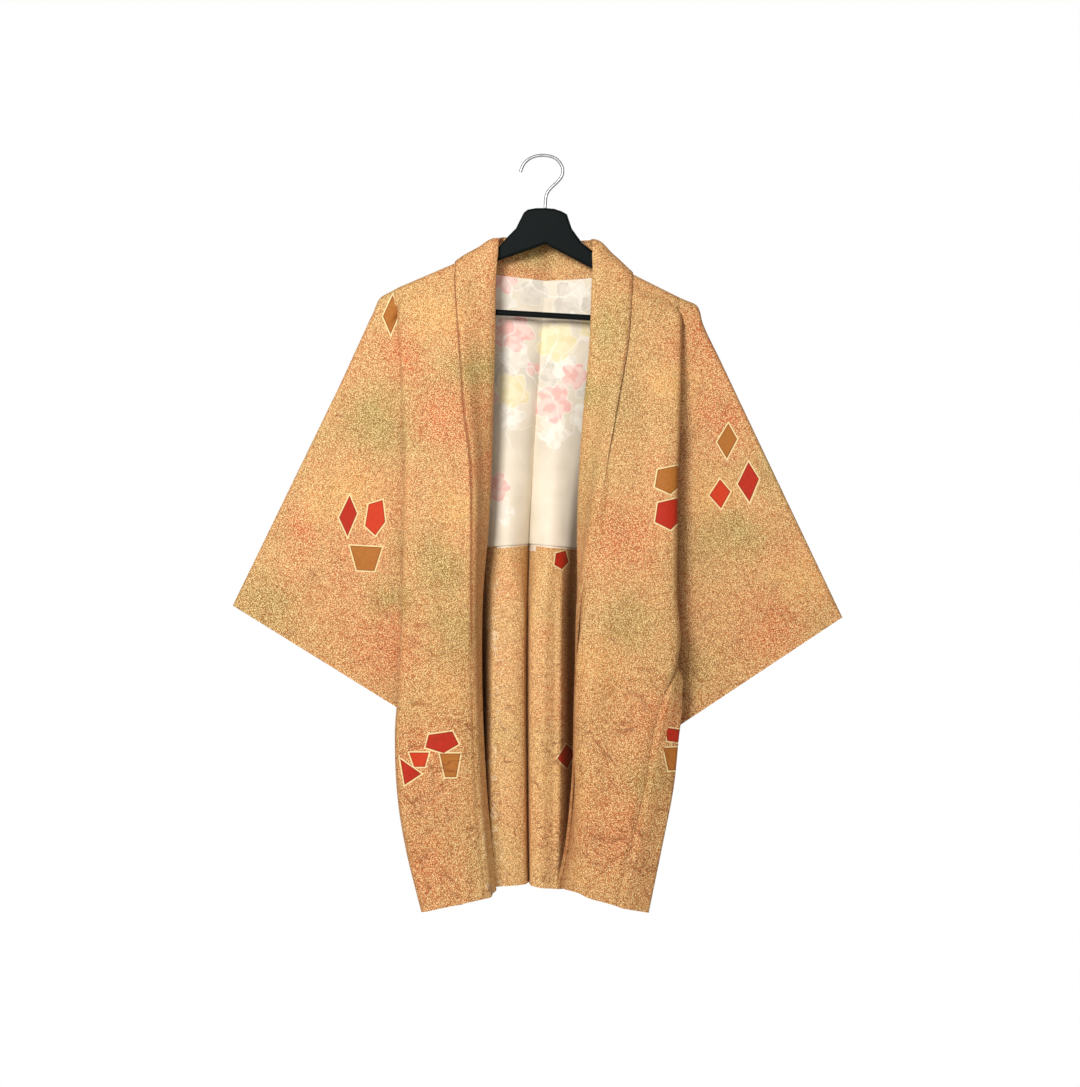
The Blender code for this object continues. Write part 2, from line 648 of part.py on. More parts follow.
def make_sleeve(side, finish):
    """A flattened tube, sewn to the body at the armhole and open at the cuff."""
    front = [RIDGE - s for s in ARMHOLE_STEPS]
    back = [2 * RIDGE - station for station in front[::-1]]

    def loop(along):
        foot = sleeve_foot[side](along)
        return [
            *[sleeve_point(side, along, station) for station in [RIDGE, *front]],
            foot,
            *[sleeve_point(side, along, station) for station in back],
        ]

    rows = [loop(i / SLEEVE_ROWS) for i in range(SLEEVE_ROWS + 1)]
    nudge = unit(rows[1][0] - rows[0][0]) * 2 * SEAM_GAP
    rows[0] = [point + nudge for point in rows[0]]
    body = [body_row(side, station)[-2] for station in [RIDGE, *front]]
    body += [sleeve_foot[side](0)] + [body_row(side, station)[-2] for station in back]
    wall(f"sleeve_{side}", rows, BODY_WALL, finish, ends=(body, None), loop=True)


def gusset_row(side, station):
    """One section of the side gusset, from the front's side seam to the back's."""
    start = front_edge[side](station)
    end = back_edge[side](2 * RIDGE - station)
    fold = gusset_fold[side](station)
    sag = np.array([-OUTWARD[side] * GUSSET_SAG, 0, 0]) if side == "right" else 0
    return [
        start,
        between(start, fold, 0.5),
        fold,
        between(fold, end, 0.33) + sag,
        between(fold, end, 0.67) + sag,
        end,
    ]


def make_gusset(side, finish):
    """The narrow panel between front and back, from the underarm to the hem."""
    places = body_stations(0, GUSSET_TOP)
    rows = [gusset_row(side, station) for station in places]
    ghosts = (
        [front_row(side, station)[-2] for station in places],
        [back_row(side, 2 * RIDGE - station)[-2] for station in places],
    )
    pull_in(rows, 0, SEAM_GAP / 2)
    pull_in(rows, -1, SEAM_GAP / 2)
    wall(f"gusset_{side}", rows, GUSSET_WALL, finish, ghosts)


def make_lining(side, finish):
    """The silk that lines the upper back, lying on its inner face."""
    columns = slice(1, 6)
    places = [place for place in body_stations(0, BACK_HEM) if place >= LINING_TOP]
    last = places.index(LINING_END)
    grid = to_space([back_row(side, station)[columns] for station in places[:last + 1]])
    below = to_space(back_row(side, places[last + 1])[columns])
    normal = surface_normals(grid, (None, None), False, (None, below))
    inwards = -np.sign(normal[..., 1].mean())
    clearance = BODY_WALL / 2 + 2.5 * SEAM_GAP + LINING_WALL / 2
    grid = grid + normal * inwards * clearance * MM
    rows = np.stack([grid[..., 0], grid[..., 1], -grid[..., 2]], axis=-1) / MM
    rows = [[point for point in row] for row in rows]
    wall(f"lining_{side}", rows, LINING_WALL, finish)


def arm_top(side, across):
    """The top of the hanger's arm: just under the cloth's ridge."""
    ridge = np.array(front_row(side, RIDGE))
    order = np.argsort(ridge[:, 0])
    return float(np.interp(across, ridge[order, 0], ridge[order, 2])) + ARM_CLEARANCE


def make_hanger(finish):
    """Shaped arms and a trouser bar, moulded in one piece."""
    outline = []
    for side in ("left", "right"):
        out = OUTWARD[side]
        reach = ARM_REACH[side]
        root = ARM_ROOT[side]
        first = seam(side, RIDGE)[0]
        tops = [first, *[between(first, reach, share) for share in ARM_SHARES]]
        tops.append(reach - out * TIP_INSET)
        arm = [root, *[(x, arm_top(side, x)) for x in tops]]
        arm += [(reach - out * inset, arm[-1][1] + fall) for inset, fall in ARM_TIP]
        flank = NECK_FLANK[side] + arm
        outline.append(flank)
    left, right = outline
    bar_low = {
        side: (ARM_REACH[side] - OUTWARD[side] * BAR_INSET, BAR_TOP[side] + BAR_HEIGHT)
        for side in SIDES
    }
    ring = [*left[::-1], *NECK_TOP, *right, bar_low["right"], bar_low["left"]]
    window = []
    for side in SIDES:
        out, reach = OUTWARD[side], ARM_REACH[side]
        inset, fall = WINDOW_LOW[side]
        high = reach - out * WINDOW_HIGH[side]
        middle = WINDOW_MID[side]
        half = [
            (reach - out * inset, BAR_TOP[side] + fall),
            (high, arm_top(side, high) + ARM_HEIGHT),
            (middle, arm_top(side, middle) + ARM_HEIGHT + 1),
            WINDOW_SIDE[side],
        ]
        window += half + WINDOW_APEX if side == "left" else half[::-1]
    bm = bmesh.new()
    loops = []
    for points in (ring, window):
        verts = [bm.verts.new((x * MM, -HANGER_DEPTH / 2 * MM, -z * MM)) for x, z in points]
        edges = [bm.edges.new((verts[i], verts[(i + 1) % len(verts)])) for i in range(len(verts))]
        loops += edges
    bmesh.ops.triangle_fill(bm, use_beauty=True, edges=loops)
    flat = list(bm.faces)
    grown = bmesh.ops.extrude_face_region(bm, geom=flat)
    moved = [item for item in grown["geom"] if isinstance(item, bmesh.types.BMVert)]
    bmesh.ops.translate(bm, verts=moved, vec=(0, HANGER_DEPTH * MM, 0))
    bmesh.ops.recalc_face_normals(bm, faces=bm.faces)
    bmesh.ops.dissolve_limit(bm, angle_limit=0.01, verts=bm.verts, edges=bm.edges)
    mesh = bpy.data.meshes.new("hanger")
    bm.to_mesh(mesh)
    bm.free()
    made = add_object("hanger", mesh, finish)
    bevel = made.modifiers.new("soft edges", "BEVEL")
    bevel.width = HANGER_BEVEL * MM
    bevel.segments = 2
    bevel.limit_method = "ANGLE"
    bevel.angle_limit = 0.9
    return made


def make_hook(finish):
    """The bent steel wire that turns in the hanger's neck."""
    path = np.array([(across, 0, -drop) for across, drop in HOOK_PATH]) * MM
    bm = bmesh.new()
    rings = []
    for i, centre in enumerate(path):
        ahead = path[min(i + 1, len(path) - 1)] - path[max(i - 1, 0)]
        side = unit(np.array([ahead[2], 0, -ahead[0]]))
        radius = HOOK_WIRE * MM * (0.6 if i == 0 else 1.0)
        ring = []
        for k in range(WIRE_SIDES):
            angle = 2 * np.pi * k / WIRE_SIDES
            offset = side * np.cos(angle) + np.array([0, 1, 0]) * np.sin(angle)
            ring.append(bm.verts.new(centre + offset * radius))
        rings.append(ring)
    for first, second in zip(rings, rings[1:]):
        for k in range(WIRE_SIDES):
            n = (k + 1) % WIRE_SIDES
            bm.faces.new((first[k], first[n], second[n], second[k]))
    bm.faces.new(rings[0])
    bm.faces.new(rings[-1])
    bmesh.ops.triangulate(bm, faces=bm.faces)
    bmesh.ops.recalc_face_normals(bm, faces=bm.faces)
    mesh = bpy.data.meshes.new("hanger_hook")
    bm.to_mesh(mesh)
    bm.free()
    mesh.shade_smooth()
    add_object("hanger_hook", mesh, finish)


for old in list(bpy.data.objects):
    bpy.data.objects.remove(old, do_unlink=True)

silk = material("speckled silk", (0.55, 0.35, 0.17), 0.6)
lining_silk = material("cream lining silk", (0.85, 0.8, 0.7), 0.45)
black_plastic = material("black plastic", (0.02, 0.02, 0.022), 0.35)
steel = material("steel wire", (0.7, 0.7, 0.72), 0.25, 1.0)
for side in SIDES:
    make_body(side, silk)
    make_collar(side, silk)
    make_sleeve(side, silk)
    make_gusset(side, silk)
    make_lining(side, lining_silk)
make_hanger(black_plastic)
make_hook(steel)
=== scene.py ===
from functools import reduce
from math import cos, pi, radians, sin

import bmesh
import bpy
import numpy as np
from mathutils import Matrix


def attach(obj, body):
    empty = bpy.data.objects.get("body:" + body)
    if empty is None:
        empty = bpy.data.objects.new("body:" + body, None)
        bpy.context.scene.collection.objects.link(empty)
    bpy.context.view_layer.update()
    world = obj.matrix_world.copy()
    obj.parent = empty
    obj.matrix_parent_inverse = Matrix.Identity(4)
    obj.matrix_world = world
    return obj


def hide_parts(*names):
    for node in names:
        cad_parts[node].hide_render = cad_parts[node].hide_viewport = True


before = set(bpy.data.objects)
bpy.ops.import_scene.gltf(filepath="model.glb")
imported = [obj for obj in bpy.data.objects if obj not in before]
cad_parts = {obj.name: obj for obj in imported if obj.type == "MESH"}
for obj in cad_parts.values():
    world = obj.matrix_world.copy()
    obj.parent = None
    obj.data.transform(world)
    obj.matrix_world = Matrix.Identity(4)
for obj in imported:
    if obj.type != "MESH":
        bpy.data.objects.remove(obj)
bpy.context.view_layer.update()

# ---------------------------------------------------------------------------
# The body: two strips of speckled crepe silk, each cut in one piece from the
# front hem over the shoulder to the back hem and sewn to the other down the
# centre back. Hung up, each strip falls in a deep pleat inside its sleeve.
# ---------------------------------------------------------------------------
MM = 0.001
SIDES = ("left", "right")  # as seen by someone facing the front
OUTWARD = {"left": -1.0, "right": 1.0}
RIDGE = 10  # stations run from the front hem, 0, over the ridge to the back hem
UNDERARM = 5
NECK_CENTRE = 12
BACK_HEM = 20
BODY_CLOTH = 1.4  # millimetres thick
# The rolls of the back are pressed flat at their tops: how far the columns move in towards
# the centre, and forward
ROLL_SHIFTS = (
    [(0, 0), (2, 4), (5, 7.5), (8, 4), (12, 0)],
    [(0, 0), (3, 5), (5, 9), (8, 3), (11, 0), (13, 0), (16, 6), (21, 0)],
)
EDGE_DRAWN = 1.0  # the front's raw edge is drawn up against the collar
EDGE_LIFTS = [(0, 3.5), (1, 3.2), (2, 2.4), (3, 1.2), (4, 0)]  # and forward, low down
# Rows of cloth: from one station to the next, and how many rows to a station
CLOTH_ROWS = ((0, 4, 44), (4, 9, 17), (9, 11, 14), (11, 20, 13))

# Where the collar is sewn on, and the centre back seam below it
SEAM = {
    "left": [
        (0, -75, -40, 937), (1, -87, -40, 800), (2, -92, -41, 675), (3, -94, -42, 562),
        (4, -93, -42, 474), (5, -94, -39, 388), (6, -101, -35, 324), (7, -107, -26, 240),
        (8, -112, -16, 171), (9, -112, -9, 147), (10, -110, 0, 134), (10.5, -100, 7, 138),
        (11, -85, 12, 144), (11.5, -51, 16, 150), (12, -1, 19, 156),
    ],
    "right": [
        (0, 20, -15, 926), (0.5, 31, -15, 871), (1, 38, -17, 802), (2, 42, -27, 675),
        (3, 47, -37, 562), (4, 63, -44, 474), (5, 75, -41, 392), (6, 87, -35, 324),
        (7, 102, -26, 240), (8, 107, -16, 179), (9, 108, -9, 161), (10, 108, 0, 148),
        (10.5, 98, 7, 149), (11, 80, 12, 150), (11.5, 45, 16, 154), (12, -1, 19, 156),
    ],
}
CENTRE_BACK = [
    (12, -1, 19, 156), (13, -3, 30, 211), (14, -9, 38, 294), (15, -15, 44, 384),
    (16, -20, 50, 473), (17, -22, 54, 564), (18, -23, 56, 680), (19, -22, 56, 808),
    (20, -20, 56, 922),
]
# The outer fold of the front, where it turns back behind itself
FRONT_FOLD = {
    "left": [
        (0, -155, -35, 954), (0.5, -174, -35, 877), (1, -185, -35, 807),
        (1.5, -188, -35, 732), (2, -184, -35, 675), (3, -180, -34, 566),
        (4, -178, -32, 478), (5, -177, -29, 393), (6, -180, -25, 327),
        (7, -183, -18, 249), (8, -186, -11, 193), (8.5, -183, -10.5, 184),
        (9, -184, -9.5, 177), (10, -186, 0, 166.5),
    ],
    "right": [
        (0, 87, -49.5, 945), (1, 122, -51, 804), (1.5, 135, -50.5, 729), (2, 150, -49.5, 678),
        (2.25, 163, -46, 650), (2.5, 169, -38, 622), (3, 166, -34, 566), (4, 166, -32, 481),
        (5, 167, -29, 411),
        (6, 170, -25, 340), (7, 172, -18, 261), (8, 172, -11, 203), (8.5, 168, -10.5, 194),
        (9, 168, -9.5, 187), (10, 167, 0, 177.5),
    ],
}
# The inner end of that pleat, where the cloth turns out again
FRONT_TURN = {
    "left": [
        (0, -104, -17, 947), (1, -104, -17, 810), (2, -103, -15, 676), (3, -101, -14, 566),
        (4, -94, -12, 478), (5, -85, -11, 393), (6, -99, -9, 345), (7, -146, -8, 286),
        (8, -181, -7.5, 196), (8.5, -190, -9, 189),
        (9, -191, -8.5, 180.5), (10, -193, 0, 170.5),
    ],
    "right": [
        (0, 97, -48.5, 949), (1, 132, -49.5, 805), (1.5, 144, -49, 730), (2, 157, -47.5, 679),
        (2.25, 164, -40, 651), (2.5, 160, -31, 625), (3, 125, -20, 571), (4, 97, -14, 493),
        (5, 73, -11, 410), (6, 91, -9, 360), (7, 136, -8, 299), (8, 166, -7.5, 206),
        (8.5, 175, -9, 200), (9, 176, -8.5, 191), (10, 177, 0, 182),
    ],
}
# The cloth's outer edge: the side seam to the underarm, then the armhole seam
FRONT_EDGE = {
    "left": [
        (0, -112, -12, 945), (1, -111, -11, 809), (2, -111, -10, 676), (3, -107, -9, 566),
        (4, -100, -7, 478), (5, -89, -2.6, 384), (6, -140, -2.6, 355), (7, -202, -2.6, 320),
        (8, -247, -2.6, 295), (9, -256, -2.6, 291), (10, -259, 0, 288),
    ],
    "right": [
        (0, 107, -45, 951), (0.5, 123, -46, 882), (1, 141, -46, 807), (1.5, 152, -45, 731),
        (2, 163, -43, 680), (2.25, 168, -35, 652), (2.5, 163, -25, 625), (3, 133, -14, 571),
        (4, 106, -9, 493), (5, 81, -2.6, 411),
        (6, 129, -2.6, 379), (7, 189, -2.6, 340), (8, 232, -2.6, 313),
        (9, 241, -2.6, 307), (10, 244, 0, 305),
    ],
}
# The corner round the hanger's tip, and the shoulder slope below it
CORNER = {
    "left": [(7.5, -184, -6, 250), (8, -197, -6, 222), (9, -208, -7, 190), (10, -208, 0, 179)],
    "right": [(7.5, 169, -6, 262), (8, 184, -6, 232), (9, 192, -7, 200), (10, 192, 0, 189)],
}
SHOULDER = {
    "left": [(7.5, -206, -4, 268), (8, -213, -4, 252), (9, -218, -5.5, 210), (10, -218, 0, 199)],
    "right": [(7.5, 193, -4, 281), (8, 199, -4, 264), (9, 199, -5.5, 223), (10, 200, 0, 212)],
}
# The back's outer fold, turn and edge lie behind the front's, a little further in
BACK_FOLD = {
    "left": [
        (10, -186, 0, 166.5), (11, -184, 9.5, 177), (11.5, -181, 11.5, 184),
        (12, -183, 14, 193), (13, -176, 20, 249),
        (14, -172, 26, 327), (15, -169, 30, 393), (16, -170, 33, 478), (17, -172, 35, 564),
        (18, -176, 36, 668), (19, -174, 36, 790), (20, -158, 36, 925),
    ],
    "right": [
        (10, 167, 0, 177.5), (11, 168, 9.5, 187), (11.5, 167, 11.5, 194),
        (12, 169, 14, 203), (13, 165, 20, 261),
        (14, 162, 26, 340), (15, 160, 30, 411), (16, 159, 33, 481), (17, 159, 35, 564),
        (18, 161, 37, 672), (19, 150, 38, 794), (20, 122, 36, 930),
    ],
}
BACK_TURN = {
    "left": [
        (10, -193, 0, 170.5), (11, -191, 8.5, 180.5), (11.5, -189, 9, 189),
        (12, -178, 7.5, 197), (13, -146, 8, 286),
        (14, -99, 9, 345), (15, -85, 11, 393), (16, -94, 12, 478), (17, -101, 14, 565),
        (18, -103, 17, 672), (19, -104, 20, 796), (20, -104, 22, 924),
    ],
    "right": [
        (10, 177, 0, 182), (11, 176, 8.5, 191), (11.5, 174, 9, 200),
        (12, 164, 7.5, 206), (13, 136, 8, 299),
        (14, 91, 9, 360), (15, 73, 11, 410), (16, 80, 14, 490), (17, 87, 18, 567),
        (18, 100, 22, 675), (19, 100, 25, 798), (20, 78, 28, 926),
    ],
}
# The back's edge lies right behind the front's down to the underarm. Below it:
BACK_SIDE_SEAM = {
    "left": [
        (16, -100, 7, 478), (17, -107, 9, 565), (18, -111, 10, 672), (19, -111, 11, 796),
        (20, -112, 12, 922),
    ],
    "right": [
        (16, 88, 7, 490), (17, 95, 11, 567), (18, 109, 14, 675), (19, 109, 16, 798),
        (20, 86, 18, 926),
    ],
}
BACK_EDGE = {
    side: [(2 * RIDGE - s, x, -y, z) for s, x, y, z in FRONT_EDGE[side][::-1] if s >= UNDERARM]
    + BACK_SIDE_SEAM[side]
    for side in SIDES
}
# The soft rolls of the back on each side of the centre seam
ROLL_PEAK = {
    "left": [
        (12, -30, 16, 162), (13, -33, 22, 213), (14, -36, 24, 296), (15, -40, 21, 386),
        (16, -46, 11, 476), (17, -48, 0, 566), (18, -48, -7, 680), (19, -47, -8, 808),
        (20, -45, -6, 925),
    ],
    "right": [
        (12, 28, 16, 160), (13, 30, 22, 213), (14, 24, 26, 296), (15, 14, 23, 386),
        (16, 6, 12, 476), (17, 3, 0, 566), (18, 2, -7, 680), (19, 1, -8, 808),
        (20, 0, -6, 928),
    ],
}
ROLL_OUTER = {
    "left": [
        (12, -55, 15, 160), (13, -62, 26, 215), (14, -66, 32, 298), (15, -70, 30, 388),
        (16, -69, 24, 478), (17, -69, 13, 566), (18, -69, 4, 680), (19, -69, 2, 806),
        (20, -67, 4, 927),
    ],
    "right": [
        (12, 52, 15, 160), (13, 58, 26, 217), (14, 50, 31, 300), (15, 36, 31, 390),
        (16, 27, 22, 478), (17, 22, 12, 566), (18, 21, 5, 680), (19, 20, 4, 808),
        (20, 18, 6, 930),
    ],
}
ROLL_FOOT = {
    "left": [
        (12, -72, 14, 160), (13, -84, 31, 219), (14, -92, 39, 300), (15, -96, 44, 390),
        (16, -94, 48, 480), (17, -88, 50, 568), (18, -82, 50, 680), (19, -82, 50, 804),
        (20, -80, 50, 928),
    ],
    "right": [
        (12, 70, 14, 160), (13, 78, 31, 221), (14, 70, 39, 304), (15, 52, 45, 392),
        (16, 44, 49, 480), (17, 42, 51, 566), (18, 42, 52, 680), (19, 42, 52, 808),
        (20, 38, 52, 931),
    ],
}
# How far the flat of the front and of the back stand from the hanger's middle
FRONT_MAIN = [
    (0, -50), (1, -52), (2, -52), (3, -50), (4, -47), (5, -42), (6, -36), (7, -27),
    (8, -17), (9, -9.5), (10, 0),
]
BACK_MAIN = [
    (10, 0), (11, 9.5), (12, 18), (13, 27), (14, 36), (15, 43), (16, 49), (17, 53),
    (18, 54), (19, 54), (20, 52),
]
PLEAT_OPENS = 15.0  # the pleat's width where its layers are fully apart
PLEAT_GAP = 5.0
# Beside the outer fold and the inner turn: share of the way there, share of the depth
BEFORE_FOLD = (0.3, 0.8)
AFTER_FOLD = (0.14, 0.8)
BEFORE_TURN = (0.92, 0.25)
CORNER_FROM = 7.5  # the station from which the hanger's tip shapes the cloth
TO_ARMHOLE = (0.14, 0.42, 0.72)  # of the way from the turn to the armhole seam
BACK_SETTLES = 3  # the back is at its full depth from a third of the way to the fold
ROLL_RISE = (0.3, 0.62)  # up a roll of the back: share of the way, share of the depth
BESIDE_ROLL = 0.55  # of the way from a roll's foot to the outer fold
# The front near the collar: share of its width, share of its depth, then how far out
# it turns where it is rolled, tightly and near the hem broadly, and its depth there
EDGE_ROLL = ((0.07, 0.62, -3, 7, 0.45), (0.25, 1.0, 5, 24, 0.92))
ROLL_STARTS = 9.0  # the depth behind the flat at which the edge starts to roll
ROLL_FULL = 21.0  # and where it is wholly rolled
BROAD_ROLL = (1.3, 0.5)  # the stations between which the roll turns broad
FRONT_SHARES = (0.5, 0.75, 0.88)  # of the way from the edge to the outer fold
BACK_SHARES = (0.12, 0.3, 0.5, 0.72, 0.88)


def over_ridge(first, second, share, ridge_first):
    """A quarter round between the ridge's top and the next station beside it."""
    top, beside = (first, second) if ridge_first else (second, first)
    turned = share if ridge_first else 1 - share
    angle = turned * np.pi / 2
    if len(top) == 1:
        return top + (beside - top) * np.sin(angle)
    return top + (beside - top) * np.array([turned, np.sin(angle), 1 - np.cos(angle)])


def line(rows):
    """A smooth curve through a table's points, as a function of the station."""
    table = np.array(rows, dtype=float)
    at, values = table[:, 0], table[:, 1:]
    slope = np.gradient(values, at, axis=0)

    def point(station):
        low = int(np.clip(np.searchsorted(at, station, side="right") - 1, 0, len(at) - 2))
        span = at[low + 1] - at[low]
        share = np.clip((station - at[low]) / span, 0.0, 1.0)
        if span == 1 and RIDGE in (at[low], at[low + 1]):
            return over_ridge(values[low], values[low + 1], share, at[low] == RIDGE)
        rise = share * share * (3 - 2 * share)
        lead = share * (1 - share) ** 2 * span
        tail = share * share * (share - 1) * span
        return (
            values[low] * (1 - rise) + values[low + 1] * rise
            + slope[low] * lead + slope[low + 1] * tail
        )

    return point


def lines(tables):
    return {side: line(rows) for side, rows in tables.items()}


def between(first, second, share):
    return first + (second - first) * share


def bent(start, end, share, depth):
    """A point between two others, at a depth of its own."""
    point = between(start, end, share)
    point[1] = depth
    return point


def grow(value, start, end):
    """From 0 at start to 1 at end, and held beyond them."""
    return np.clip((value - start) / (end - start), 0, 1)


def unit(vector):
    return vector / max(np.linalg.norm(vector), 1e-9)


neck_seam, centre_back = lines(SEAM), line(CENTRE_BACK)
corner, shoulder = lines(CORNER), lines(SHOULDER)
front_fold, front_turn, front_edge = lines(FRONT_FOLD), lines(FRONT_TURN), lines(FRONT_EDGE)
back_fold, back_turn, back_edge = lines(BACK_FOLD), lines(BACK_TURN), lines(BACK_EDGE)
roll_peak, roll_outer, roll_foot = lines(ROLL_PEAK), lines(ROLL_OUTER), lines(ROLL_FOOT)
front_main, back_main = line(FRONT_MAIN), line(BACK_MAIN)


def seam(side, station):
    return neck_seam[side](station) if station <= NECK_CENTRE else centre_back(station)


def shoulder_points(side, station, turn, edge):
    """The cloth between the pleat's inner turn and the armhole seam: three points."""
    near = station if station <= RIDGE else 2 * RIDGE - station
    plain = [between(turn, edge, share) for share in TO_ARMHOLE]
    if near <= CORNER_FROM:
        return plain
    flip = np.array([1.0, 1.0 if station <= RIDGE else -1.0, 1.0])
    tip = corner[side](near) * flip
    slope = shoulder[side](near) * flip
    mix = min(1.0, (near - CORNER_FROM) / 0.5)
    shaped = [tip, slope, between(slope, edge, 0.5)]
    return [between(a, b, mix) for a, b in zip(plain, shaped)]


def outer_points(side, station, last_main, depth):
    """From the flat of the cloth round the outer fold, inwards, and out to the edge."""
    is_front = station <= RIDGE
    fold = (front_fold if is_front else back_fold)[side](station)
    turn = (front_turn if is_front else back_turn)[side](station)
    edge = (front_edge if is_front else back_edge)[side](station)
    # how far the pleat is open, from 0 where it is flat
    opened = float(np.clip(OUTWARD[side] * (fold[0] - turn[0]) / PLEAT_OPENS, 0, 1))
    inside = turn[1] + (-1 if is_front else 1) * PLEAT_GAP * opened
    return [
        bent(fold, last_main, BEFORE_FOLD[0], between(fold[1], depth, BEFORE_FOLD[1])),
        fold,
        bent(fold, turn, AFTER_FOLD[0], between(fold[1], inside, AFTER_FOLD[1])),
        bent(fold, turn, 0.5, inside),
        bent(fold, turn, BEFORE_TURN[0], between(inside, turn[1], BEFORE_TURN[1])),
        turn,
        *shoulder_points(side, station, turn, edge),
        edge,
    ]


def front_row(side, station):
    """One row of the front, from the collar seam to the outer edge."""
    out = OUTWARD[side]
    start, fold = seam(side, station), front_fold[side](station)
    depth = front_main(station)[0]
    # rolled is 1 where the front's own edge turns back into the jacket
    rolled = float(np.interp(start[1] - depth, (ROLL_STARTS, ROLL_FULL), (0, 1)))
    wide = float(np.interp(-station, (-BROAD_ROLL[0], -BROAD_ROLL[1]), (0, 1)))
    main = []
    for share, rise, tight, broad, roll_depth in EDGE_ROLL:
        flat = bent(start, fold, share, between(start[1], depth, rise))
        turned = start + np.array([out * between(tight, broad, wide), 0, 0])
        turned[1] = between(start[1], depth, roll_depth)
        turned[2] = flat[2]
        main.append(between(flat, turned, rolled))
    main += [bent(start, fold, share, depth) for share in FRONT_SHARES]
    return [start, *main, *outer_points(side, station, main[-1], depth)]


def back_row(side, station):
    """One row of the back, from the neck or centre seam to the outer edge."""
    start = seam(side, station)
    depth = back_main(station)[0]
    fold = back_fold[side](station)
    main = [
        bent(start, fold, share, between(start[1], depth, min(1.0, share * BACK_SETTLES)))
        for share in BACK_SHARES
    ]
    if station > NECK_CENTRE:
        peak, outer, foot = (k[side](station) for k in (roll_peak, roll_outer, roll_foot))
        rise = bent(start, peak, ROLL_RISE[0], between(start[1], peak[1], ROLL_RISE[1]))
        flat = bent(foot, fold, BESIDE_ROLL, depth)
        mix = min(1.0, station - NECK_CENTRE)
        main = [between(a, b, mix) for a, b in zip(main, (rise, peak, outer, foot, flat))]
    return [start, *main, *outer_points(side, station, main[-1], depth)]


def body_row(side, station):
    return front_row(side, station) if station <= RIDGE else back_row(side, station)


def fine_stations(first, last):
    places = []
    for start, end, rows in CLOTH_ROWS:
        steps = round((end - start) * rows)
        places += [start + i / rows for i in range(steps)]
    places = [place for place in places if first < place < last - 0.01]
    return [first, *places, last]


def smooth_across(rows, counts):
    """Rows of cloth with a smooth curve through each row's points."""
    points = np.array(rows)
    chords = np.maximum(np.linalg.norm(np.diff(points, axis=1), axis=-1, keepdims=True), 1e-3)
    slopes = np.diff(points, axis=1) / chords
    inner = (slopes[:, :-1] * chords[:, 1:] + slopes[:, 1:] * chords[:, :-1]) / (
        chords[:, :-1] + chords[:, 1:]
    )
    tangents = np.concatenate([slopes[:, :1], inner, slopes[:, -1:]], axis=1)
    columns = []
    for i, count in enumerate(counts):
        start, end, chord = points[:, i], points[:, i + 1], chords[:, i]
        for k in range(count):
            t = k / count
            rise = t * t * (3 - 2 * t)
            columns.append(
                start * (1 - rise) + end * rise
                + tangents[:, i] * chord * t * (1 - t) ** 2
                + tangents[:, i + 1] * chord * t * t * (t - 1)
            )
    columns.append(points[:, -1])
    return np.stack(columns, axis=1)


def to_space(points):
    """Across, depth and drop in millimetres to X, Y and Z in metres."""
    points = np.asarray(points, dtype=float)
    return np.stack([points[..., 0], points[..., 1], -points[..., 2]], axis=-1) * MM


def drop_of(grid):
    return -grid[..., 2] / MM


def cloth_normals(grid, side, loop=False):
    """Unit normals that point out of the jacket."""
    down = np.gradient(grid, axis=0)
    if loop:
        across = np.roll(grid, -1, axis=1) - np.roll(grid, 1, axis=1)
    else:
        across = np.gradient(grid, axis=1)
    normal = np.cross(down, across) * -OUTWARD[side]
    return normal / np.maximum(np.linalg.norm(normal, axis=-1, keepdims=True), 1e-12)


# Sharp creases get painted shade in the cloth's colour, darkest along their middles
SHARP = 4.0  # a crease narrower than this is pressed in, and looks darker
CREASE_END = 0.02  # of a crease's length, where it has faded out
MARK_DEPTH = 0.7  # how dark a pressed crease is at its middle
MARK_NARROWS = 1.5  # the darkness falls off faster than the crease's height


def crease(grid, normal, creases, weight, marks):
    """Soft troughs and ridges along short lines: x, drop to x, drop, width, height.

    marks gathers the painted shade of the sharp creases, from 0 to 1."""
    across, drop = grid[..., 0] / MM, drop_of(grid)
    lift = np.zeros(across.shape)
    for x1, z1, x2, z2, width, height in creases:
        run = np.array([x2 - x1, z2 - z1], dtype=float)
        share = ((across - x1) * run[0] + (drop - z1) * run[1]) / (run @ run)
        held = np.clip(share, 0, 1)
        away = np.hypot(across - x1 - run[0] * held, drop - z1 - run[1] * held)
        fade = np.sin(np.clip(share, CREASE_END, 1 - CREASE_END) * pi) ** 0.5
        shape = fade * np.exp(-((away / width) ** 2)) * np.abs(weight)
        lift += np.sign(weight) * height * shape
        if width < SHARP:
            np.maximum(marks, MARK_DEPTH * shape ** MARK_NARROWS, out=marks)
    return grid + normal * lift[..., None] * MM


def put(name, data):
    """A new object, in the scene."""
    made = bpy.data.objects.new(name, data)
    bpy.context.collection.objects.link(made)
    return made


CRISP_EDGE = 62  # degrees between two faces that meet in a crisp edge


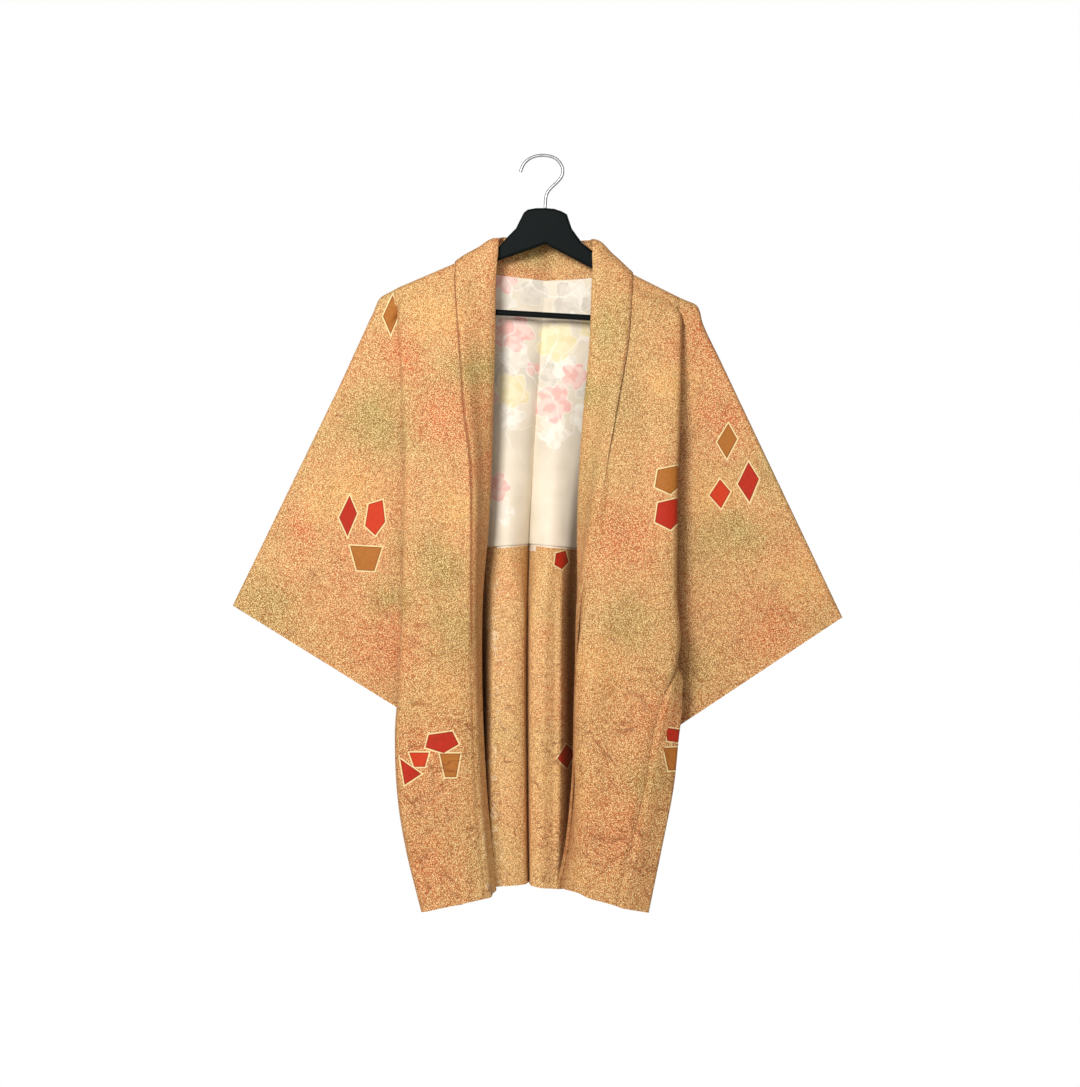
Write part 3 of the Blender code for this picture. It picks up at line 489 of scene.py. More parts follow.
def shell(name, side, grid, thickness, layers, linings=None, loop=False, marks=None):
    """A closed cloth shell about a grid: its two faces and its cut edges.

    layers holds the pattern's shift for the outer and the inner face, and linings says
    which of the inner face's quads are lining."""
    rows, wide = grid.shape[:2]
    offset = cloth_normals(grid, side, loop) * thickness / 2 * MM
    points = np.concatenate([(grid + offset).reshape(-1, 3), (grid - offset).reshape(-1, 3)])
    index = np.arange(rows * wide).reshape(rows, wide)
    right = np.roll(index, -1, axis=1) if loop else index[:, 1:]
    left = index if loop else index[:, :-1]
    face_shape = left[:-1].shape
    face = np.stack([left[:-1], right[:-1], right[1:], left[1:]], axis=-1).reshape(-1, 4)
    back = face[:, ::-1] + rows * wide
    rims = []
    edges = [(left[0], right[0]), (right[-1], left[-1])]
    if not loop:
        edges += [(index[1:, 0], index[:-1, 0]), (index[:-1, -1], index[1:, -1])]
    for first, second in edges:
        low = rows * wide
        rims.append(np.stack([second, first, first + low, second + low], axis=-1))
    rims = np.concatenate(rims)
    faces = np.concatenate([face, back, rims])
    mesh = bpy.data.meshes.new(name)
    mesh.from_pydata(points.tolist(), [], faces.tolist())
    mesh.materials.append(silk)
    if linings is not None:
        mesh.materials.append(lining_silk)
        slots = np.zeros(len(faces), dtype=np.int32)
        slots[len(face):2 * len(face)] = linings.reshape(-1)
        mesh.polygons.foreach_set("material_index", slots)
    shift = np.full(len(faces), PLAIN, dtype=float)
    outer, inner = layers
    shift[:len(face)] = np.broadcast_to(outer, face_shape).reshape(-1)
    shift[len(face):2 * len(face)] = np.broadcast_to(inner, face_shape).reshape(-1)
    corners = points[faces.reshape(-1)]
    flat = np.stack([corners[:, 0] + np.repeat(shift, 4), corners[:, 2]], axis=-1)
    mesh.uv_layers.new(name="pattern").data.foreach_set("uv", flat.reshape(-1))
    # The painted shade of creases, recesses and folds, one value to each point
    if marks is not None:
        painted_shade = mesh.attributes.new("painted_shade", "FLOAT", "POINT")
        painted_shade.data.foreach_set("value", np.concatenate([m.reshape(-1) for m in marks]))
    made = put(name, mesh)
    bm = bmesh.new()
    bm.from_mesh(mesh)
    bmesh.ops.recalc_face_normals(bm, faces=bm.faces)
    bm.to_mesh(mesh)
    bm.free()
    mesh.shade_smooth()
    mesh.set_sharp_from_angle(angle=radians(CRISP_EDGE))
    return made


# The dyed patches lie at fixed places on a cloth's pattern, which is its X and Z with a
# shift of some metres for each layer, so that a patch shows on one layer alone.
PLAIN = 40.0
SHOULDER_LAYER = 2.0
INSIDE_BACK = 4.0
SLEEVE_LAYER = 6.0
GUSSET_LAYER = 8.0


def colour(red, green, blue):
    """A colour as seen on screen, 0 to 255, to the shader's linear values."""
    shares = np.array([red, green, blue]) / 255
    linear = np.where(shares <= 0.04045, shares / 12.92, ((shares + 0.055) / 1.055) ** 2.4)
    return (*linear.tolist(), 1.0)


class Dye:
    """A material's nodes, added one after another."""

    def __init__(self, name):
        self.material = bpy.data.materials.new(name)
        self.material.use_nodes = True
        self.tree = self.material.node_tree
        self.shader = self.tree.nodes["Principled BSDF"]
        self.place = self.tree.nodes.new("ShaderNodeTexCoord").outputs["Object"]

    def feed(self, socket, value):
        """Link a socket to a value that is worked out, or set it to a plain one."""
        if isinstance(value, bpy.types.NodeSocket):
            self.tree.links.new(value, socket)
        else:
            socket.default_value = value

    def give(self, finish):
        for name, value in finish.items():
            self.feed(self.shader.inputs[name], value)

    def node(self, kind, inputs, **settings):
        made = self.tree.nodes.new(kind)
        for key, value in settings.items():
            setattr(made, key, value)
        for key, value in inputs.items():
            self.feed(made.inputs[key], value)
        return made

    def maths(self, operation, first, second=0.0, third=0.0):
        inputs = {0: first, 1: second, 2: third}
        return self.node("ShaderNodeMath", inputs, operation=operation).outputs[0]

    def times(self, first, second):
        return self.maths("MULTIPLY", first, second)

    def apart(self, value, middle):
        """How far a value lies from a middle one, either way."""
        return self.maths("ABSOLUTE", self.maths("SUBTRACT", value, middle))

    def gather(self, operation, values):
        """The least or the greatest of several values."""
        return reduce(lambda first, second: self.maths(operation, first, second), values)

    def vector(self, operation, *values):
        inputs = dict(enumerate(values))
        made = self.node("ShaderNodeVectorMath", inputs, operation=operation)
        return made.outputs["Value" if operation in ("DOT_PRODUCT", "DISTANCE") else "Vector"]

    def axes(self, place):
        return self.node("ShaderNodeSeparateXYZ", {0: place}).outputs

    def noise(self, scale, detail=2.0, rough=0.5, place=None, stretch=None):
        place = place or self.place
        if stretch:
            place = self.vector("MULTIPLY", place, stretch)
        inputs = {"Vector": place, "Scale": scale, "Detail": detail, "Roughness": rough}
        return self.node("ShaderNodeTexNoise", inputs).outputs["Fac"]

    def drift(self, place, reach, **scale):
        """A place moved about, back and forth, by an uneven field."""
        made = self.node("ShaderNodeTexNoise", {"Vector": self.place, **scale})
        return self.vector("MULTIPLY_ADD", made.outputs["Color"], (reach, 0, reach), place)

    def grains(self, place, scale):
        inputs = {"Vector": place, "Scale": scale}
        return self.node("ShaderNodeTexVoronoi", inputs).outputs["Distance"]

    def spread(self, value, low, high, out_low=0.0, out_high=1.0, smooth=False):
        inputs = {
            "Value": value, "From Min": low, "From Max": high,
            "To Min": out_low, "To Max": out_high,
        }
        kind = "SMOOTHSTEP" if smooth else "LINEAR"
        return self.node("ShaderNodeMapRange", inputs, interpolation_type=kind).outputs[0]

    def ramp(self, value, stops):
        made = self.node("ShaderNodeValToRGB", {"Fac": value})
        while len(made.color_ramp.elements) < len(stops):
            made.color_ramp.elements.new(0.5)
        for element, (at, tint) in zip(made.color_ramp.elements, stops):
            element.position = at
            element.color = tint
        return made.outputs["Color"]

    def mix(self, share, first, second):
        inputs = {0: share, 6: first, 7: second}
        return self.node("ShaderNodeMix", inputs, data_type="RGBA").outputs[2]

    def veil(self, tint, share, most, dyed):
        """A colour laid over a tint, by a share of at most so much: dyes, painted light and painted
        shade alike.
        """
        return self.mix(self.times(share, most), tint, colour(*dyed))

    def fleck(self, tint, value, low, high, most, dyed):
        """The same, growing as a value runs from low to high."""
        return self.mix(self.spread(value, low, high, 0.0, most), tint, colour(*dyed))

    def finish(self, tint, roughness, bump=None, strength=0.3, depth=0.0005):
        self.give({"Base Color": tint, "Roughness": roughness})
        if bump is not None:
            inputs = {"Height": bump, "Strength": strength, "Distance": depth}
            self.give({"Normal": self.node("ShaderNodeBump", inputs).outputs["Normal"]})
        return self.material


# The dyed patches: middle (X, drop), width, height in mm, turn in degrees, outline, layer.
# Four plain shards do for all of them.
PATCH_OUTLINES = {
    "kite": [(0, -1), (0.9, -0.15), (0.1, 1), (-0.9, 0.1)],
    "trapezium": [(-1, -0.9), (1, -0.9), (0.6, 0.9), (-0.5, 0.9)],
    "pentagon": [(-0.8, -0.7), (0.6, -1), (1, 0.2), (0.1, 1), (-1, 0.5)],
    "wedge": [(-0.9, -0.9), (1, 0.2), (-0.5, 1)],
}
OCHRE_PATCHES = [
    (-195, 201, 25, 54, 4, "kite", SHOULDER_LAYER),
    (-228, 510, 43, 36, 3, "trapezium", SLEEVE_LAYER),
    (-119, 769, 28, 35, 0, "trapezium", 0.0),
    (156, 411, 38, 38, 0, "pentagon", 0.0),
    (231, 361, 30, 48, 4, "kite", SLEEVE_LAYER),
    (161, 762, 27, 34, 0, "trapezium", GUSSET_LAYER),
]
VERMILION_PATCHES = [
    (-215, 458, 27, 48, 4, "pentagon", SLEEVE_LAYER),
    (-158, 762, 27, 22, 0, "trapezium", 0.0),
    (222, 428, 32, 40, 0, "kite", SLEEVE_LAYER),
]
DEEP_RED_PATCHES = [
    (-250, 456, 27, 56, 4, "kite", SLEEVE_LAYER),
    (-129, 740, 44, 29, 0, "pentagon", 0.0),
    (-169, 776, 31, 38, 0, "wedge", 0.0),
    (258, 413, 32, 54, 0, "kite", SLEEVE_LAYER),
    (156, 454, 38, 42, 0, "pentagon", 0.0),
    (161, 732, 27, 20, 10, "trapezium", GUSSET_LAYER),
    (21, 512, 20, 26, 0, "pentagon", INSIDE_BACK),
    (27, 762, 28, 34, 0, "kite", INSIDE_BACK),
]

# Soft clouds of dye over the ground colour: middle (X, drop) and radius in mm
CLOUD_DRIFT = 0.09
DYED_CLOUDS = (
    ([(-228, 340, 75), (-350, 580, 70), (-140, 515, 70), (-118, 600, 60), (-88, 265, 55),
      (78, 215, 55), (108, 598, 44), (235, 480, 65), (200, 650, 55), (-45, 735, 45),
      (60, 470, 50), (-200, 560, 50), (45, 290, 45), (-60, 880, 60), (130, 800, 50),
      (0, 118, 50)],
     colour(160, 136, 72)),
    ([(-180, 250, 60), (-115, 320, 75), (-200, 625, 65), (-70, 385, 50), (-150, 760, 70),
      (-6, 612, 32), (6, 690, 42), (-52, 540, 40), (95, 490, 85), (200, 225, 75),
      (230, 335, 65), (285, 600, 75), (140, 715, 65), (90, 850, 80), (-300, 470, 50),
      (-155, 900, 60), (-15, 830, 50)],
     colour(208, 108, 66)),
    ([(-150, 200, 60), (-260, 430, 60), (-110, 450, 45), (30, 800, 60), (160, 300, 60),
      (200, 420, 50), (70, 640, 55), (-130, 680, 50), (330, 540, 45)],
     colour(222, 160, 94)),
)


def patch_distance(dye, place, patch):
    """How far a point lies outside one patch, in metres."""
    across, drop, width, height, turn, outline, layer = patch
    angle = radians(turn)
    points = []
    for x, z in PATCH_OUTLINES[outline]:
        x, z = x * width / 2, z * height / 2
        points.append((across + x * cos(angle) - z * sin(angle),
                       -drop - x * sin(angle) - z * cos(angle)))
    middle = np.mean(points, axis=0)
    edges = []
    for i, start in enumerate(points):
        end = points[(i + 1) % len(points)]
        side = np.array([end[1] - start[1], start[0] - end[0]])
        side = side / np.linalg.norm(side)
        if side @ (np.array(start) - middle) < 0:
            side = -side
        reach = side @ (np.array(start) * MM) + side[0] * layer
        edges.append(dye.vector("DOT_PRODUCT", place, (side[0], side[1], -reach)))
    return dye.gather("MAXIMUM", edges)


def dyed_clouds(dye, tint):
    """Soft clouds of dye, their edges drifting."""
    flat = dye.vector("MULTIPLY", dye.place, (1, 0, 1))
    flat = dye.drift(flat, CLOUD_DRIFT, Scale=11.0, Detail=2.0)
    for clouds, dyed in DYED_CLOUDS:
        shares = []
        for across, drop, radius in clouds:
            middle = (across * MM + CLOUD_DRIFT / 2, 0, -drop * MM + CLOUD_DRIFT / 2)
            far = dye.vector("DISTANCE", flat, middle)
            shares.append(dye.spread(far, radius * MM, 0.0, smooth=True))
        tint = dye.mix(dye.gather("MAXIMUM", shares), tint, dyed)
    return tint


# The open back's middle, painted paler as light, the trail in it, and the crushed silk lower down,
# painted darker as shade: in metres, each pair from where it begins to where it is full
OPENING_MIDDLE = -0.032
OPENING_REACH = (0.064, 0.042)
OPENING_FROM = (-0.47, -0.52)
TRAIL_LEFT, TRAIL_RIGHT = (-0.085, -0.075), (-0.045, -0.060)
TRAIL_FROM = (-0.50, -0.53)
CRUSHED_AND_SHADED_FROM = (-0.40, -0.78)


def lit_inside(dye, tint, across, up):
    """The open back's low middle, painted paler as light, with a pale trail down its left roll."""
    beside = dye.spread(dye.apart(across, OPENING_MIDDLE), *OPENING_REACH, smooth=True)
    inside = dye.times(beside, dye.spread(up, *OPENING_FROM))
    tint = dye.veil(tint, inside, 0.35, (234, 192, 130))
    trail = dye.apart(dye.noise(46.0, 1.0, 0.5), 0.5)
    shown = dye.times(dye.spread(across, *TRAIL_RIGHT), dye.spread(across, *TRAIL_LEFT))
    shown = dye.times(shown, dye.spread(up, *TRAIL_FROM))
    return dye.veil(tint, dye.times(dye.spread(trail, 0.020, 0.006), shown), 0.6, (238, 216, 184))


def sand(dye, tint):
    """Cream and brown specks all over."""
    grit = dye.noise(480.0, 2.0, 0.75)
    moved = dye.vector("ADD", dye.place, (0.31, 0.17, 0.23))
    # what each speck follows, where it begins and is full, how strong, its colour
    for value, low, high, most, dyed in (
        (grit, 0.52, 0.66, 0.4, (238, 196, 132)),
        (grit, 0.46, 0.32, 0.6, (112, 62, 28)),
        (dye.grains(moved, 740.0), 0.38, 0.25, 0.85, (88, 46, 20)),
        (dye.grains(dye.place, 720.0), 0.42, 0.27, 1.0, (255, 232, 168)),
    ):
        tint = dye.fleck(tint, value, low, high, most, dyed)
    return tint


PATCH_SOFT = 0.0004  # metres in which a patch's dye comes in, at each side of its outline
RIM_REACH = (0.0011, 0.0005)  # from the outline: where the rim ends, and where it is full
LINE_AT = -0.0015  # the dark line, inwards from the outline
LINE_REACH = (0.0007, 0.0002)


def dyed_patches(dye, tint):
    """The patches, each with a pale rim and a dark line just inside it."""
    pattern = dye.node("ShaderNodeUVMap", {}, uv_map="pattern").outputs["UV"]
    place = dye.vector("ADD", pattern, (0, 0, 1))
    weave = dye.spread(dye.noise(300.0, 2.0, 0.6), 0.3, 0.75, 0.0, 0.5)
    nearest = []
    for patches, light, dark in (
        (OCHRE_PATCHES, colour(176, 110, 42), colour(150, 86, 34)),
        (VERMILION_PATCHES, colour(204, 60, 24), colour(176, 42, 16)),
        (DEEP_RED_PATCHES, colour(186, 42, 18), colour(146, 28, 12)),
    ):
        closest = dye.gather("MINIMUM", [patch_distance(dye, place, p) for p in patches])
        nearest.append(closest)
        inside = dye.spread(closest, PATCH_SOFT, -PATCH_SOFT)
        tint = dye.mix(inside, tint, dye.mix(weave, light, dark))
    nearest = dye.gather("MINIMUM", nearest)
    dark_line = dye.apart(nearest, LINE_AT)
    tint = dye.fleck(tint, dark_line, *LINE_REACH, 0.55, (92, 30, 12))
    rim = dye.maths("ABSOLUTE", nearest)
    return dye.fleck(tint, rim, *RIM_REACH, 1.0, (236, 214, 158))


def pressed_veins(dye, depth):
    """Long thin creases in three directions, each set in places of its own."""
    veins = []
    for run_x, run_z, where in ((0.85, 0.53, 0.0), (0.62, -0.78, 3.0), (0.99, 0.1, 7.0)):
        along = dye.vector("DOT_PRODUCT", dye.place, (run_x, 0, run_z))
        aslant = dye.vector("DOT_PRODUCT", dye.place, (-run_z, 0, run_x))
        along = dye.maths("MULTIPLY_ADD", along, 0.22, where)
        drawn = dye.node("ShaderNodeCombineXYZ", {0: along, 1: aslant, 2: depth}).outputs[0]
        wave = dye.apart(dye.noise(64.0, 2.0, 0.5, drawn), 0.5)
        kept = dye.spread(dye.noise(17.0 + where, 1.0), 0.50, 0.60)
        veins.append(dye.times(dye.spread(wave, 0.016, 0.003), kept))
    return dye.gather("MAXIMUM", veins)


def speckled_silk():
    """Crepe silk, dyed in soft clouds, under a sand of cream and brown specks."""
    dye = Dye("speckled crepe silk")
    across, depth, up = dye.axes(dye.place)
    tint = dye.ramp(dye.noise(6.5, 2.0, 0.55), [
        (0.30, colour(178, 140, 84)), (0.42, colour(198, 147, 91)),
        (0.54, colour(207, 143, 90)), (0.68, colour(210, 131, 86)),
    ])
    tint = dyed_clouds(dye, tint)
    tint = dye.fleck(tint, dye.noise(38.0, 3.0, 0.6), 0.42, 0.70, 0.35, (168, 110, 64))
    clusters = dye.noise(110.0, 3.0, 0.7)
    tint = dye.fleck(tint, clusters, 0.50, 0.68, 0.3, (196, 118, 62))
    tint = dye.fleck(tint, clusters, 0.48, 0.32, 0.25, (176, 150, 88))
    # lower down the silk is crushed into fine creases, and painted darker as shade
    crushed_and_shaded = dye.spread(up, *CRUSHED_AND_SHADED_FROM, 0.1, 1.0, smooth=True)
    tint = dye.veil(tint, crushed_and_shaded, 0.42, (178, 104, 46))
    tint = lit_inside(dye, tint, across, up)
    tint = dyed_patches(dye, sand(dye, tint))
    veins = dye.times(pressed_veins(dye, depth), crushed_and_shaded)
    # the painted shade each mesh carries at its points, laid on below
    painted_shade = dye.node("ShaderNodeAttribute", {}, attribute_name="painted_shade").outputs["Fac"]
    # painted shade along the fine creases
    tint = dye.veil(tint, veins, 0.6, (128, 62, 26))
    tint = dye.veil(tint, painted_shade, 0.72, (124, 56, 20))
    crepe = dye.times(dye.noise(620.0, 3.0, 0.7), 0.6)
    height = dye.maths("SUBTRACT", crepe, dye.times(veins, 0.6))
    dye.give({
        "Sheen Weight": 0.08, "Sheen Roughness": 0.45, "Sheen Tint": colour(255, 225, 190),
        "Specular IOR Level": 0.25,
    })
    return dye.finish(tint, 0.68, height, 0.35, 0.0012)


# The lining's blossoms: middle (X, drop), radius in mm, turn in degrees
PINK_BLOSSOMS = [
    (-40, 222, 25, 10), (-50, 156, 15, 30), (11, 312, 25, 40), (38, 276, 16, 5),
    (-64, 418, 20, 0), (-16, 268, 9, 60), (72, 372, 22, 15), (-84, 300, 24, 20),
]
YELLOW_BLOSSOMS = [
    (16, 232, 27, 25), (-42, 296, 23, 50), (62, 214, 20, 5), (-88, 222, 22, 35),
]
WHITE_BLOSSOMS = [
    (27, 268, 18, 15), (-38, 254, 19, 70), (11, 348, 19, 45), (-43, 327, 17, 5),
    (-52, 180, 16, 30), (40, 172, 16, 10), (-54, 450, 16, 0), (52, 330, 18, 60),
]
GREY_BLOSSOMS = [
    (-14, 170, 19, 0), (34, 180, 24, 40), (8, 274, 17, 25), (58, 290, 20, 10),
    (-66, 270, 18, 30),
]
BLOSSOM_DRIFT = 0.014  # metres over which the petals' rims wander
PETAL_WAVES = 2.5  # half a turn of the wave for each of five petals
PETAL_DEPTH, PETAL_FOOT = 0.32, 0.72  # of the radius: how far a petal bulges, from where
PRINT_FROM = (-0.44, -0.30)  # Z over which the grey wash and the stems come in


def blossom_distance(dye, across, up, blossom):
    """Distance from a blossom's middle as a share of its five-petalled rim."""
    x, drop, radius, turn = blossom
    dx = dye.maths("SUBTRACT", across, x * MM)
    dz = dye.maths("ADD", up, drop * MM)
    far = dye.maths("SQRT", dye.maths("ADD", dye.times(dx, dx), dye.times(dz, dz)))
    angle = dye.maths("ARCTAN2", dz, dx)
    angle = dye.maths("MULTIPLY_ADD", angle, PETAL_WAVES, radians(turn))
    wave = dye.maths("ABSOLUTE", dye.maths("COSINE", angle))
    rim = dye.maths("MULTIPLY_ADD", wave, radius * MM * PETAL_DEPTH, radius * MM * PETAL_FOOT)
    return dye.maths("DIVIDE", far, rim)


def flowered_silk():
    """Smooth cream silk with pale blossoms, fewer of them towards the waist."""
    dye = Dye("flowered lining silk")
    soft = dye.noise(26.0, 2.0, 0.5)
    tint = dye.ramp(soft, [(0.32, colour(222, 210, 188)), (0.62, colour(233, 222, 202))])
    upper = dye.spread(dye.axes(dye.place)["Z"], *PRINT_FROM, smooth=True)
    wash = dye.spread(dye.noise(15.0, 1.0, 0.5), 0.42, 0.62, 0.0, 0.6, smooth=True)
    tint = dye.mix(dye.times(wash, upper), tint, colour(212, 203, 186))
    across, _, up = dye.axes(dye.drift(dye.place, BLOSSOM_DRIFT, Scale=55.0))
    across = dye.maths("SUBTRACT", across, BLOSSOM_DRIFT / 2)
    up = dye.maths("SUBTRACT", up, BLOSSOM_DRIFT / 2)
    petal = dye.noise(85.0, 1.0, 0.5)
    dyes = (
        (GREY_BLOSSOMS, colour(204, 196, 182), colour(220, 212, 198)),
        (WHITE_BLOSSOMS, colour(242, 236, 224), colour(228, 220, 205)),
        (YELLOW_BLOSSOMS, colour(238, 226, 186), colour(232, 216, 164)),
        (PINK_BLOSSOMS, colour(240, 204, 194), colour(234, 172, 164)),
    )
    for blossoms, pale, full in dyes:
        shares = [blossom_distance(dye, across, up, blossom) for blossom in blossoms]
        closest = dye.gather("MINIMUM", shares)
        petals = dye.mix(dye.spread(petal, 0.4, 0.6, smooth=True), full, pale)
        tint = dye.mix(dye.spread(closest, 1.10, 0.92, 0.0, 0.8, smooth=True), tint, petals)
        tint = dye.fleck(tint, dye.apart(closest, 1.02), 0.055, 0.02, 0.4, (244, 240, 230))
    stems = dye.spread(dye.apart(dye.noise(22.0, 1.0, 0.4), 0.5), 0.012, 0.004, 0.0, 0.5)
    tint = dye.mix(dye.times(stems, upper), tint, colour(246, 242, 234))
    weave = dye.noise(900.0, 1.0, 0.5, stretch=(1.0, 1.0, 0.3))
    dye.give({"Sheen Weight": 0.15, "Specular IOR Level": 0.3})
    return dye.finish(tint, dye.spread(soft, 0.3, 0.7, 0.52, 0.64), weave, 0.08, 0.0004)


silk = speckled_silk()
lining_silk = flowered_silk()
COLUMN_STEPS = [3, 6, 8, 8, 5, 5, 5, 4, 12, 12, 4, 6, 10, 10, 8]
FOLD_COLUMN = sum(COLUMN_STEPS[:7])
TURN_COLUMN = sum(COLUMN_STEPS[:11])
LINED_TO = {"left": 494.0, "right": 498.0}  # drop of the lining's lower edge
FRONT_ENDS = 9  # the station above which the front has no creases
BACK_STARTS = 11.5  # and the one from which the back has them
ROLLS_PRESSED = (500, 570)  # the drops between which the back's rolls turn flat
EDGE_LIFTED = (340, 420)  # and those between which the fronts' edges come forward
CREASES_BEGIN = (8, 16)  # columns from the collar over which the creases grow
CREASES_STOP = (FOLD_COLUMN - 3, FOLD_COLUMN - 8)  # and fade towards the outer fold
# The right front's edge gets painted shade beside the collar: drops, columns, and how dark
EDGE_SHADE = ((500, 600), (5, 1), 0.5)
SHOULDER_FROM = 6  # the station from which the front's outer part shows at the shoulder
# The rolls' far sides get painted shade, where the fronts shade them: from this |X| on, over so
# much, how deep, and growing between two drops
ROLL_DUSK = {"left": (67, 6, 0.6, 540, 720), "right": (19, 3, 0.4, 380, 400)}
# Creases of the fronts and backs: x and drop to x and drop, width, height in mm
FRONT_CREASES = {
    "left": [
        (-150, 240, -120, 520, 12, -1.6), (-125, 300, -150, 640, 14, 1.5),
        (-100, 520, -118, 860, 13, -1.8), (-168, 560, -150, 900, 13, -1.5),
        (-140, 640, -128, 930, 12, 1.6), (-131, 692, -114, 683, 2.6, -2.8),
        (-116, 684, -88, 679, 2.4, -2.4), (-174, 690, -138, 695, 3.2, -1.9),
        (-148, 814, -116, 790, 2.6, -3), (-154, 857, -135, 848, 2.4, -2.8),
        (-110, 789, -84, 797, 2.4, -2.4), (-100, 859, -75, 841, 2.4, -3),
        (-155, 891, -141, 873, 2.4, -2.4), (-161, 878, -151, 900, 2.4, -2.4),
        (-109, 900, -96, 888, 2.4, -2.4), (-91, 889, -72, 884, 2.4, -2.2),
        (-150, 909, -142, 932, 2.4, -2.2), (-141, 770, -141, 808, 2.4, -1.8),
        (-170, 818, -145, 803, 2.7, -1.9), (-128, 905, -112, 915, 2.4, -1.8),
        (-166, 835, -140, 828, 8, 0.9), (-120, 825, -92, 812, 7, 0.9),
    ],
    "right": [
        (120, 240, 140, 560, 13, -1.6), (150, 300, 118, 700, 14, 1.5),
        (90, 600, 70, 900, 13, -1.6), (130, 660, 96, 920, 12, 1.6),
        (68, 692, 91, 670, 2.6, -2.8), (112, 675, 137, 704, 2.6, -3),
        (95, 682, 115, 676, 2.4, -1.9), (135, 700, 158, 695, 2.4, -2.6),
        (119, 648, 138, 653, 2.4, -1.8), (127, 781, 142, 781, 2.4, -1.9),
        (46, 790, 60, 796, 2.4, -2.2), (56, 798, 67, 810, 2.4, -1.9),
        (73, 800, 88, 795, 2.4, -1.8), (60, 861, 123, 862, 2.9, -1.9),
        (40, 852, 58, 856, 2.4, -2.2), (79, 893, 96, 883, 2.4, -2.4),
        (52, 893, 77, 894, 2.4, -2.4), (103, 889, 119, 879, 2.4, -1.9),
        (94, 894, 111, 905, 2.4, -1.9), (70, 838, 118, 846, 8, 0.9),
        (60, 875, 110, 872, 7, 0.9), (118, 715, 140, 735, 5, 0.8),
    ],
}
BACK_CREASES = {
    "left": [
        (-60, 240, -90, 620, 16, 1.8), (-130, 260, -120, 700, 16, -2.0),
        (-100, 600, -140, 900, 14, 1.8), (-50, 640, -60, 900, 12, -1.5),
        (-150, 420, -110, 460, 9, 1.2), (-60, 860, -140, 830, 7, 1.1),
    ],
    "right": [
        (60, 240, 90, 620, 16, 1.8), (130, 260, 112, 700, 16, -2.0),
        (100, 600, 130, 900, 14, 1.8), (50, 640, 60, 900, 12, -1.5),
        (150, 430, 100, 470, 9, 1.2), (60, 865, 130, 840, 7, 1.1),
    ],
}
for side in SIDES:
    places = fine_stations(0, BACK_HEM)
    front_rows = np.array([[s < FRONT_ENDS] for s in places])
    back_rows = np.array([[s > BACK_STARTS] for s in places])
    grid = to_space(smooth_across([body_row(side, s) for s in places], COLUMN_STEPS))
    columns = np.arange(grid.shape[1])
    drawn = grid[:, 0] - grid[:, 2]
    grid[:, 0] += drawn / np.linalg.norm(drawn, axis=-1, keepdims=True) * EDGE_DRAWN * MM
    drop = drop_of(grid)
    low = grow(drop, *ROLLS_PRESSED) * back_rows
    aside, forward = (np.interp(columns, *np.transpose(shift)) for shift in ROLL_SHIFTS)
    grid[..., 0] -= low * aside * OUTWARD[side] * MM
    grid[..., 1] -= low * forward * MM
    beside = grow(drop, *EDGE_LIFTED) * front_rows
    grid[..., 1] -= beside * np.interp(columns, *np.transpose(EDGE_LIFTS)) * MM
    normal = cloth_normals(grid, side)
    free = grow(columns, *CREASES_BEGIN) * grow(columns, *CREASES_STOP)
    # Painted shade, one value to each point: in the sharp creases, at the right front's edge and on
    # the rolls' far sides
    marks = np.zeros(grid.shape[:2])
    grid = crease(grid, normal, FRONT_CREASES[side], free * front_rows, marks)
    grid = crease(grid, normal, BACK_CREASES[side], free * back_rows, marks)
    drop = drop_of(grid)
    if side == "right":
        drops, beside, deep = EDGE_SHADE
        low = grow(drop, *drops) * front_rows
        marks = np.maximum(marks, deep * low * grow(columns, *beside))
    past, over, deep, from_drop, to_drop = ROLL_DUSK[side]
    dusk = grow(np.abs(grid[..., 0]) / MM, past, past + over) * deep * back_rows
    dusk = dusk * grow(drop, from_drop, to_drop)
    station = np.array(places[:-1])[:, None]
    column = columns[None, :-1]
    outer = np.where((station < RIDGE) & (column < FOLD_COLUMN + 3), 0.0, PLAIN)
    shown = (station < RIDGE) & (station > SHOULDER_FROM) & (column >= TURN_COLUMN)
    outer = np.where(shown, SHOULDER_LAYER, outer)
    inner = np.where(station > RIDGE, INSIDE_BACK, PLAIN) + 0.0 * column
    middle = (grid[:-1, :-1] + grid[1:, 1:]) / 2
    lined = (middle[..., 2] > -LINED_TO[side] * MM).astype(np.int32)
    layers, marks = (outer, inner), (marks, marks + dusk)
    strip = shell(f"body_strip_{side}", side, grid, BODY_CLOTH, layers, lined, marks=marks)
    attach(strip, "root")
    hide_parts(f"body_{side}")

# ---------------------------------------------------------------------------
# The collar: one long band of the same silk over a stiffener, sewn to the
# fronts and the neck, folded outwards along its length and caught down.
# ---------------------------------------------------------------------------
# The band's turned-in face gets painted shade: first and last drop, and how dark
COLLAR_DUSK = {"left": (430, 710, 0.3), "right": (500, 1100, 0.5)}
# A painted shadow line along the band's free edge
EDGE_SHADOW_LINE = {"left": (0.9, 660), "right": (0.7, 320)}  # its free edge: how dark, to which drop
EDGE_SUNK = 1.8  # the free edge is pressed down on the shoulder
COLLAR_CLOTH = 1.7
COLLAR_STEPS = [10, 8, 4, 4, 10, 10, 4]
